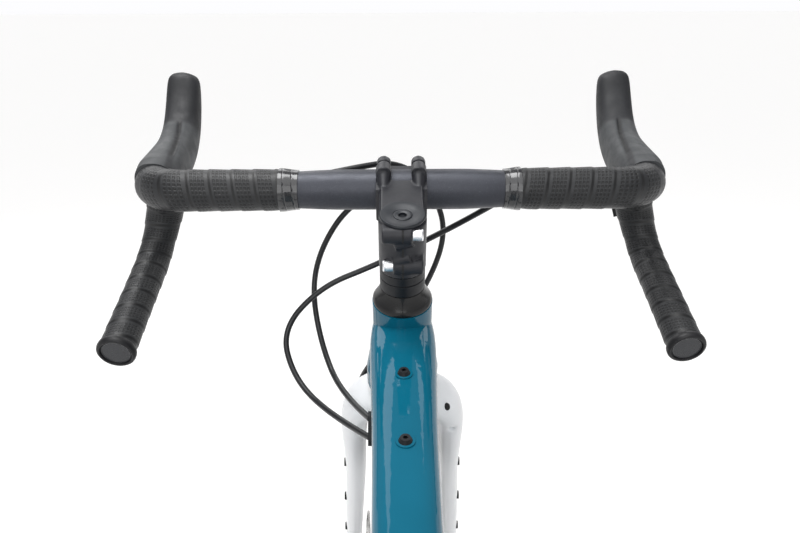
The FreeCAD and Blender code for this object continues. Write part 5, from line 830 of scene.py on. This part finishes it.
def stem_forms(mesh):
    """Steerer clamp, arm, rear jaws, bolt bosses and pinch lugs."""
    clamp_top = STEM_MID + STEER_UP * (CLAMP_HALF - CLAMP_TOP_TRIM)
    add_rod(mesh, STEM_MID - STEER_UP * CLAMP_HALF, clamp_top, CLAMP_RADIUS)
    for across, upward in ARM_SECTIONS:
        add_block(mesh, STEM_MID + STEM_AHEAD * ARM_MIDDLE, STEM_AHEAD, STEM_UP, (across, ARM_HALF, upward))
    for side in (-1, 1):
        inner = BAR_MID + RIGHT * (side * JAW_INNER)
        outer = BAR_MID + RIGHT * (side * JAW_HALF)
        add_rod(mesh, inner, outer, JAW_RADIUS - JAW_TRIM)
        back = (outer + inner) / 2 - STEM_AHEAD * JAW_BACK
        add_block(mesh, back, STEM_AHEAD, STEM_UP, ((JAW_HALF - JAW_INNER) / 2, JAW_BACK_HALF, JAW_BACK_RISE))
    for level, spot in bolt_spots():
        add_rod(mesh, spot - STEM_AHEAD * BOSS_REAR, spot - STEM_AHEAD * SPLIT_HALF, BOSS_RADIUS)
        heel = spot - STEM_AHEAD * BOSS_REAR - STEM_UP * (level * HEEL_DROP)
        add_rod(mesh, heel, spot - STEM_UP * (level * HEEL_TIP_DROP), BOSS_RADIUS - HEEL_TRIM)
        tail = heel - STEM_AHEAD * TAIL_LENGTH - STEM_UP * (level * TAIL_DROP)
        add_rod(mesh, heel + STEM_AHEAD * TAIL_START, tail, BOSS_RADIUS, TAIL_TIP)
    add_rod(mesh, BAR_MID - RIGHT * JAW_HALF, BAR_MID + RIGHT * JAW_HALF, JAW_CORE)
    for side, spot in pinch_spots():
        first = spot - RIGHT * (side * LUG_LONG)
        last = spot + RIGHT * (side * LUG_SHORT)
        add_rod(mesh, first, last, LUG_RADIUS)
        rib = first + RIGHT * (side * LUG_INSET) - STEER_UP * (side * LUG_SPREAD)
        add_rod(mesh, rib, last - STEER_UP * (side * LUG_TIP_SPREAD), LUG_RIB_RADIUS)
        web = (first + last) / 2 + STEER_AHEAD * WEB_AHEAD
        add_block(mesh, web, STEER_AHEAD, STEER_UP, ((LUG_LONG + LUG_SHORT) / 2, WEB_HALF, LUG_RADIUS))


def plate_forms(mesh):
    """The faceplate's jaw and bolt bosses ahead of the bar."""
    add_block(mesh, BAR_MID + STEM_AHEAD * PLATE_AHEAD, STEM_AHEAD, STEM_UP, PLATE_HALVES)
    for level, spot in bolt_spots():
        add_rod(mesh, spot + STEM_AHEAD * SPLIT_HALF, spot + STEM_AHEAD * BOSS_FRONT, BOSS_RADIUS)
        lug = spot + STEM_AHEAD * PLATE_LUG_AHEAD - STEM_UP * (level * PLATE_LUG_DROP)
        add_block(mesh, lug, STEM_AHEAD, STEM_UP, PLATE_LUG_HALVES)


stem_piece = cast("stem_cast", stem_forms, STEM_ROUNDS, cast_black)
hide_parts("stem")
plate_piece = cast("faceplate_cast", plate_forms, PLATE_ROUNDS, cast_black)
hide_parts("stem_faceplate")


def trim(name, build, shade):
    """Small hard pieces on the stem, each with its own sharp form."""
    piece = built(name, build)
    smooth(piece, angle=30)
    return on_steering(piece, shade)


HEAD_RADIUS = 4.3
HEAD_LENGTH = 7.2
HEAD_SINK = 0.3
NECK_TRIM = 0.35
RIM_LENGTH = 1.1
RIM_TRIM = 0.5
FACE_HEAD_SINK = 0.4
FACE_HEAD_LENGTH = 3
FACE_HEAD_RADIUS = HEAD_RADIUS - 0.4
HOLE_RADIUS = 2.5
HOLE_PROUD = 0.15
HOLE_DEPTH = 2
SOCKET_DEPTH = 1.5
SOCKET_PROUD = 0.05
SLIT_HALF = 0.7
SLIT_PROUD = 0.1
SLIT_BACK = 3
SLIT_REACH = 3.3
SLIT_TRIM = 0.4


def pinch_heads(mesh):
    """Two bright pinch bolt heads with a grooved rim, and the faceplate bolts' heads."""
    for side, spot in pinch_spots():
        outward = RIGHT * side
        first = spot + outward * (LUG_SHORT - HEAD_SINK)
        last = spot + outward * (LUG_SHORT + HEAD_LENGTH)
        neck = last - outward * (2 * RIM_LENGTH)
        rim = last - outward * RIM_LENGTH
        add_rod(mesh, first, neck, HEAD_RADIUS)
        add_rod(mesh, neck, rim, HEAD_RADIUS - NECK_TRIM)
        add_rod(mesh, rim, last, HEAD_RADIUS, HEAD_RADIUS - RIM_TRIM)
    for _, spot in bolt_spots():
        foot = spot + STEM_AHEAD * (BOSS_FRONT - FACE_HEAD_SINK)
        add_rod(mesh, foot, spot + STEM_AHEAD * (BOSS_FRONT + FACE_HEAD_LENGTH), FACE_HEAD_RADIUS)


def hole_shade_pieces(mesh):
    """Dark pieces of painted shade standing in for the bolt holes in the rear of the bosses, the bolt sockets
    and the clamp's slit.
    """
    for _, spot in bolt_spots():
        mouth = spot - STEM_AHEAD * (BOSS_REAR + HOLE_PROUD)
        add_rod(mesh, mouth, spot - STEM_AHEAD * (BOSS_REAR - HOLE_DEPTH), HOLE_RADIUS)
    for side, spot in pinch_spots():
        outward = RIGHT * side
        add_rod(mesh, spot - RIGHT * SLIT_HALF, spot + RIGHT * SLIT_HALF, LUG_RADIUS + SLIT_PROUD)
        socket = spot + outward * (LUG_SHORT + HEAD_LENGTH)
        add_rod(mesh, socket - outward * SOCKET_DEPTH, socket + outward * SOCKET_PROUD, HOLE_RADIUS)
    slit = STEM_MID - STEER_AHEAD * (CLAMP_RADIUS - SLIT_BACK)
    add_block(mesh, slit, STEER_AHEAD, STEER_UP, (SLIT_HALF, SLIT_REACH, CLAMP_HALF - SLIT_TRIM))


# Turned pieces: headset cover and rings, top cap and bar end plugs, as (radius, height) steps
NEARLY_ALONG = 0.9


def turned(name, base, axis, profile, shade):
    """A round piece turned about an axis."""
    first = RIGHT if abs(axis.x) < NEARLY_ALONG else AHEAD
    first = (first - axis * first.dot(axis)).normalized()
    second = axis.cross(first)
    points = []
    for radius, height in profile:
        for k in range(BAR_AROUND):
            angle = math.tau * k / BAR_AROUND
            around = first * math.cos(angle) + second * math.sin(angle)
            points.append(base + axis * height + around * radius)
    faces = tube_faces(len(profile), BAR_AROUND)
    piece = new_piece(name, points, faces, shade, "steering_assembly")
    smooth(piece, angle=40)
    return piece


COVER_STEPS = (
    (14.5, -53.8), (21.6, -53.8), (22.2, -53.1), (22.2, -51.4), (20.9, -49.2), (19.4, -46.8), (18.1, -44),
    (17.1, -41.4), (16.6, -39.5), (16.1, -39.2), (14.5, -39.2),
)
RING_STEPS = (
    (14.5, -39.0), (16.1, -39.0), (16.6, -38.6), (16.6, -29.5), (16.1, -29.15), (15.6, -29.0), (16.1, -28.85),
    (16.6, -28.5), (16.6, -21.6), (16.1, -21.3), (14.5, -21.3),
)
CAP_STEPS = (
    (14, 20.6), (15.8, 20.8), (16.2, 21.8), (16.1, 22.8), (15.6, 23.5), (14.9, 23.6), (11, 22.7), (7.2, 22.1),
    (6.9, 21.7), (6.5, 21.8), (6.2, 22.5), (5.4, 22.7), (4.6, 22.5), (3.1, 22.2), (2.9, 20.6), (0.2, 20.6),
)
cover = turned("headset_cover", STEM_MID, STEER_UP, COVER_STEPS, cone_black)
rings = turned("headset_rings", STEM_MID, STEER_UP, RING_STEPS, spacer_black)
cap = turned("cap_dish", STEM_MID, STEER_UP, CAP_STEPS, cap_black)
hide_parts("headset_spacers")
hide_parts("headset_spacers")
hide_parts("top_cap")

PLUG_STEPS = (
    (12.5, -4), (14.6, -3.4), (15.4, -2.2), (15.7, -0.4), (15.7, 1.0), (15.3, 2.4), (14.4, 3.3), (13.4, 3.5),
    (12.7, 3.1), (12.4, 2.2), (12.2, 1.6), (0.2, 1.6),
)
FACE_STEPS = ((11.9, 1.0), (11.9, 1.9), (11.5, 2.2), (10.9, 2.1), (10.7, 1.9), (0.2, 1.9))
for side, hand in SIDES:
    hook, tip = bar_corners(side)[-2:]
    out_of = (tip - hook).normalized()
    rim = turned("plug_rim_" + hand, tip, out_of, PLUG_STEPS, plastic)
    disc = turned("plug_face_" + hand, tip, out_of, FACE_STEPS, plug_face)
    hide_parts("bar_end_plugs")
    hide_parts("bar_end_plugs")

# Brake levers, leaned outward over their height
LEVER_LEAN = 12
LEVER_LEAN_LOW = 90


def leaned_lever(side, name, body):
    """A brake lever blade that leans outward with the flare of the drop."""
    source = nodes[name]
    points = []
    for vertex in source.data.vertices:
        spot = source.matrix_world @ vertex.co / MM
        spot.x += side * LEVER_LEAN * min(1, max(0, (BAR_MID.z - spot.z) / LEVER_LEAN_LOW))
        points.append(spot)
    faces = [tuple(face.vertices) for face in source.data.polygons]
    piece = new_piece("blade_" + name, points, faces, black_metal, body)
    smooth(piece)
    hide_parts(name)


for side, hand in SIDES:
    leaned_lever(side, hand + "_brake_lever", hand + "_lever")

# The stem's bolt heads, and painted shade for its holes and slit
heads = trim("stem_heads", pinch_heads, bright)
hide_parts("stem_bolts")
trim("stem_hole_shade", hole_shade_pieces, painted_hole_shade)

# Fork skin: the solid's own form with its blends evened out
FORK_VOXEL = 1.3
FORK_ROUNDS = 80
FORK_SWELL = 1.2


def fork_skin():
    """The painted fork with soft, even blends between crown and blades."""
    source = nodes["fork"]
    mesh = bpy.data.meshes.new("fork_skin")
    points = [tuple(source.matrix_world @ vertex.co) for vertex in source.data.vertices]
    mesh.from_pydata(points, [], [tuple(face.vertices) for face in source.data.polygons])
    piece = linked("fork_skin", mesh)
    evened(piece, FORK_VOXEL, FORK_ROUNDS, FORK_SWELL)
    on_steering(piece, white)
    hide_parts("fork")


fork_skin()

# Cable port on the fork's right shoulder
PORT_SPOT = Vector((35.8, 325.2, 686.2))
PORT_WAY = Vector((0.63, -0.71, 0.31)).normalized()
PORT_STEPS = ((0.3, 2.7), (1.6, 2.7), (2.3, 2.4), (2.6, 1.0), (2.6, -2))
PORT_TALL = 1.25


def fork_port():
    """A small grommet cup set into the crown, in the near-black painted shade of its opening."""
    upright = (UP - PORT_WAY * UP.dot(PORT_WAY)).normalized()
    level = PORT_WAY.cross(upright)
    points = []
    for radius, height in PORT_STEPS:
        for k in range(BAR_AROUND):
            angle = math.tau * k / BAR_AROUND
            rim = level * (math.cos(angle) * radius) + upright * (math.sin(angle) * radius * PORT_TALL)
            points.append(PORT_SPOT + PORT_WAY * height + rim)
    faces = [face[::-1] for face in tube_faces(len(PORT_STEPS), BAR_AROUND)]
    # Near-black painted shade for the port's opening
    piece = new_piece("fork_port", points, faces, painted_hole_shade, "steering_assembly")
    smooth(piece, angle=40)


fork_port()

# Hoses and housing, each on one smooth line through its route
HOSE_RADIUS = 2.5
HOSE_STEPS = 14
HOSE_AROUND = 5
PORT_REAR = (-24.8, 276.4, 703.6)
PORT_SHIFT = (-24.8, 267.4, 692.8)
REAR_HOSE = (
    (83, 372, 866), (42, 388, 868), (0, 400, 862), (-44, 404, 838), (-70, 412, 798), (-80, 410, 758),
    (-70, 380, 716), (-50, 332, 694), PORT_REAR,
)
SHIFT_HOUSING = (
    (83, 371, 850), (54, 386, 828), (21, 388, 810), (-22, 392, 787), (-70, 390, 768), (-104, 378, 733),
    (-92, 352, 700), (-60, 318, 684), PORT_SHIFT,
)
FRONT_HOSE = (
    (-83, 372, 866), (-45, 382, 873), (2, 403, 876), (32, 417, 840), (40, 417, 806), (26, 412, 766),
    (0, 404, 728), (-26, 386, 699), (-38, 360, 690), (-39, 346, 678),
)
REAR_LOOP = (
    (73, -447, 340), (85, -504, 366), (92, -569, 378), (93, -590, 347), (91, -573, 314), (88, -536, 316),
)


def hose(name, route):
    """A round hose swept along a smooth line through a route, as a mesh."""
    curve = bpy.data.curves.new(name, "CURVE")
    curve.dimensions = "3D"
    spline = curve.splines.new("NURBS")
    spline.points.add(len(route) - 1)
    for point, spot in zip(spline.points, route):
        point.co = (*(Vector(spot) * MM), 1)
    spline.order_u = 3
    spline.use_endpoint_u = True
    spline.resolution_u = HOSE_STEPS
    curve.bevel_depth = HOSE_RADIUS * MM
    curve.bevel_resolution = HOSE_AROUND
    curve.use_fill_caps = True
    holder = linked(name + "_line", curve)
    mesh = as_mesh(holder)
    bpy.data.objects.remove(holder)
    piece = linked(name, mesh)
    coat(piece, cable)
    for face in mesh.polygons:
        face.use_smooth = True
    return piece


front_line = hose("front_hose", FRONT_HOSE)
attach(front_line, "steering_assembly")
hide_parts("front_brake_hose")
rear_line = hose("rear_hose", REAR_HOSE)
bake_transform(rear_line)
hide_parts("rear_brake_hose")
shift_line = hose("shift_line", SHIFT_HOUSING)
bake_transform(shift_line)
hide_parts("shift_housing")
loop_line = hose("shift_loop", REAR_LOOP)
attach(loop_line, "frame")
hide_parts("shift_housing")

# Tyres: a rounded casing with rows of low tread blocks, as (across, half across, half along, shift, count)
TREAD_ROWS = (
    (0, 2.6, 3.6, 0.0, 108), (6.2, 2.2, 3.0, 0.5, 108), (11.6, 2.4, 3.0, 0.0, 108), (15.8, 2.6, 3.4, 0.5, 72),
)
TREAD_LEVELS = ((0, 1.0), (1.5, 0.78))
TREAD_SINK = 0.4
CASING_TRIM = 1.3
CASING_EDGE = (1.0, 1.6)
CASING_OPENING = math.radians(148)
CASING_AROUND = 200
CASING_ACROSS = 28
BLOCK_CORNERS = ((-1, -1), (1, -1), (1, 1), (-1, 1))
BLOCK_FACES = ((4, 5, 6, 7), (0, 1, 5, 4), (1, 2, 6, 5), (2, 3, 7, 6), (3, 0, 4, 7))


def tyre(name, axle, body):
    """A tyre casing and its tread blocks around an axle."""
    tube = TYRE_WIDTH / 2
    middle = TYRE_RADIUS - tube
    points = []
    faces = []
    for i in range(CASING_AROUND):
        out = spoke(math.tau * i / CASING_AROUND)
        for k in range(CASING_ACROSS + 1):
            slant = -CASING_OPENING + 2 * CASING_OPENING * k / CASING_ACROSS
            radius = tube - CASING_TRIM * (1 - ease(abs(slant), *CASING_EDGE))
            height = middle + math.cos(slant) * radius
            points.append(axle + out * height + RIGHT * (math.sin(slant) * radius))
    row = CASING_ACROSS + 1
    for i in range(CASING_AROUND):
        after = (i + 1) % CASING_AROUND
        for k in range(CASING_ACROSS):
            faces.append((i * row + k, after * row + k, after * row + k + 1, i * row + k + 1))
    for across, half_across, half_along, shift, count in TREAD_ROWS:
        for side in ((1,) if across == 0 else (-1, 1)):
            slant = side * across / tube
            for i in range(count):
                angle = math.tau * (i + shift) / count
                out = spoke(angle)
                along = Vector((0, -math.sin(angle), math.cos(angle)))
                up = RIGHT * math.sin(slant) + out * math.cos(slant)
                sideways = RIGHT * math.cos(slant) - out * math.sin(slant)
                foot = axle + out * middle + up * (tube - CASING_TRIM - TREAD_SINK)
                base = len(points)
                for level, pinch in TREAD_LEVELS:
                    for a, b in BLOCK_CORNERS:
                        corner = sideways * (a * half_across * pinch) + along * (b * half_along * pinch)
                        points.append(foot + up * level + corner)
                for quad in BLOCK_FACES:
                    faces.append(tuple(base + corner for corner in quad))
    piece = new_piece(name, points, faces, rubber, body)
    smooth(piece, angle=30)
    return piece


for name, axle in (("front", FRONT_AXLE), ("rear", REAR_AXLE)):
    tread = tyre(name + "_tread", axle, name + "_wheel")
    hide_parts(name + "_tyre")

# Saddle: a padded cover with a centre channel, as (place, width share, depth share) along its length
SADDLE_SHARES = (
    (-0.50, 0.60, 0.55), (-0.47, 0.82, 0.8), (-0.40, 0.96, 0.95), (-0.30, 1.00, 1.0), (-0.20, 0.93, 1.0),
    (-0.10, 0.78, 1.0), (0.0, 0.60, 1.0), (0.10, 0.44, 1.0), (0.20, 0.35, 1.0), (0.30, 0.29, 0.98),
    (0.40, 0.26, 0.92), (0.46, 0.23, 0.85), (0.50, 0.14, 0.58),
)
SADDLE_LENGTH = 266
SADDLE_HALF_WIDTH = 70
SADDLE_DEPTH = 35
SADDLE_FULL = 2.6
SADDLE_TRIM = 0.3
SADDLE_AROUND = 40
SADDLE_ROUNDS = 2
CHANNEL_DEPTH = 5
CHANNEL_EDGE = (4, 13)
CHANNEL_REAR = (-0.42, -0.25)
CHANNEL_FRONT = (0.2, 0.34)


def saddle():
    """The saddle's padded top and shell."""
    low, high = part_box("saddle")
    middle = (low + high) / 2 / MM
    top = high.z / MM - SADDLE_TRIM
    points = []
    for place, width_share, depth_share in SADDLE_SHARES:
        half = SADDLE_HALF_WIDTH * width_share
        depth = SADDLE_DEPTH * depth_share
        deep = CHANNEL_DEPTH * ease(place, *CHANNEL_REAR) * (1 - ease(place, *CHANNEL_FRONT))
        for k in range(SADDLE_AROUND):
            angle = math.tau * k / SADDLE_AROUND
            across = squared(math.cos(angle), SADDLE_FULL) * half
            upward = squared(math.sin(angle), SADDLE_FULL) * depth / 2
            channel = deep * max(math.sin(angle), 0) * (1 - ease(abs(across), *CHANNEL_EDGE))
            height = top - depth / 2 + upward - channel
            points.append(Vector((across, middle.y + place * SADDLE_LENGTH, height)))
    rows = len(SADDLE_SHARES)
    faces = side_faces(rows, SADDLE_AROUND)
    faces += [end_face(0, SADDLE_AROUND), end_face(rows - 1, SADDLE_AROUND)[::-1]]
    piece = new_piece("saddle_pad", points, faces, saddle_shade, "seat")
    rounder = piece.modifiers.new("round", "SUBSURF")
    rounder.levels = SADDLE_ROUNDS
    rounder.render_levels = SADDLE_ROUNDS
    smooth(piece, angle=80)
    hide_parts("saddle")


saddle()

# Studio: pale floor, bright even surroundings and large soft lights
SKY_TONE = (0.985, 0.985, 1.0, 1)
SKY_FADE = (0.02, 0.14, 1.0, 0.34)
FLOOR_HALF = 150
FLOOR_TONE = (0.5, 0.498, 0.495, 1)
FLOOR_GLOW = (1, 0.995, 0.99, 1)
FLOOR_GLOW_SHARE = 0.52
FLOOR_GRAIN = 0.001
SUN_POWER = 1.8
SUN_SPREAD = math.radians(70)
SUN_WAY = Vector((0.15, 0.35, -1))
FRONT_END = (0, 0.3, 0.75)
BAR_TOP = (0, 0.35, 0.8)
PANELS = (
    ("left_panel", (-1.0, 2.4, 2.3), FRONT_END, 1.75, 18),
    ("right_panel", (0.92, 2.6, 2.3), FRONT_END, 1.5, 11),
    ("top_panel", (-0.4, 0.5, 2.6), BAR_TOP, 1.0, 22),
    ("fill_panel", (-0.3, -2.3, 1.7), FRONT_END, 2.0, 30),
)


def surroundings():
    """White to the eye, fading upward in what it lights."""
    world = bpy.data.worlds.new("studio")
    scene.world = world
    world.use_nodes = True
    tree = world.node_tree
    sky = tree.nodes["Background"]
    sky.inputs[0].default_value = SKY_TONE
    way = tree.nodes.new("ShaderNodeTexCoord")
    split = tree.nodes.new("ShaderNodeSeparateXYZ")
    fade = tree.nodes.new("ShaderNodeMapRange")
    rays = tree.nodes.new("ShaderNodeLightPath")
    seen = tree.nodes.new("ShaderNodeMath")
    seen.operation = "MAXIMUM"
    for place, value in enumerate(SKY_FADE):
        fade.inputs[place + 1].default_value = value
    tree.links.new(way.outputs["Generated"], split.inputs[0])
    tree.links.new(split.outputs[2], fade.inputs[0])
    tree.links.new(rays.outputs["Is Camera Ray"], seen.inputs[0])
    tree.links.new(fade.outputs[0], seen.inputs[1])
    tree.links.new(seen.outputs[0], sky.inputs[1])


def pale_floor():
    """A wide floor that stays pale and keeps the bike's shadow."""
    mesh = bpy.data.meshes.new("floor")
    corners = [(a * FLOOR_HALF, b * FLOOR_HALF, 0) for a, b in BLOCK_CORNERS]
    mesh.from_pydata(corners, [], [(0, 1, 2, 3)])
    floor = linked("floor", mesh)
    pale = Shade("pale_floor")
    rays = pale.add("ShaderNodeLightPath").outputs
    seen = pale.sum("MAXIMUM", rays["Is Camera Ray"], rays["Is Glossy Ray"])
    seen = pale.sum("MAXIMUM", seen, rays["Is Transmission Ray"])
    pale.set(Base_Color=FLOOR_TONE, Roughness=0.9)
    pale.set(Emission_Color=FLOOR_GLOW, Emission_Strength=pale.sum("MULTIPLY", seen, FLOOR_GLOW_SHARE))
    pale.bump(pale.noise(40.0), strength=0.05, distance=FLOOR_GRAIN)
    coat(floor, pale)


def facing(way):
    """The turn that points a lamp along a direction."""
    return way.to_track_quat("-Z", "Y").to_euler()


def lamps():
    """A soft light from overhead and four panels."""
    sun_light = bpy.data.lights.new("overhead", "SUN")
    sun_light.energy = SUN_POWER
    sun_light.angle = SUN_SPREAD
    linked("overhead", sun_light).rotation_euler = facing(SUN_WAY)
    for name, spot, aim, wide, power in PANELS:
        light = bpy.data.lights.new(name, "AREA")
        light.size = wide
        light.energy = power
        lamp = linked(name, light)
        lamp.location = spot
        lamp.rotation_euler = facing(Vector(aim) - Vector(spot))


surroundings()
pale_floor()
lamps()
scene.view_settings.view_transform = "Standard"

# Camera at the photograph's place
CAMERA_SPOT = Vector((-6.28, -228.73, 997.36))
CAMERA_PITCH = math.radians(18.851)
CAMERA_YAW = math.radians(0.494)
CAMERA_ROLL = math.radians(-0.253)
SENSOR_WIDTH = 36
FOCAL_LENGTH = 34.17
NEAR_CLIP = 0.01
lens = bpy.data.cameras.new("camera")
lens.sensor_width = SENSOR_WIDTH
lens.lens = FOCAL_LENGTH
lens.clip_start = NEAR_CLIP
camera = linked("camera", lens)
heading = Vector((math.sin(CAMERA_YAW), math.cos(CAMERA_YAW), 0))
ahead = heading * math.cos(CAMERA_PITCH) - UP * math.sin(CAMERA_PITCH)
level = Vector((math.cos(CAMERA_YAW), -math.sin(CAMERA_YAW), 0))
above = level.cross(ahead)
across = level * math.cos(CAMERA_ROLL) + above * math.sin(CAMERA_ROLL)
upward = above * math.cos(CAMERA_ROLL) - level * math.sin(CAMERA_ROLL)
turn = Matrix((across, upward, -ahead)).transposed()
camera.matrix_world = Matrix.Translation(CAMERA_SPOT * MM) @ turn.to_4x4()
scene.camera = camera
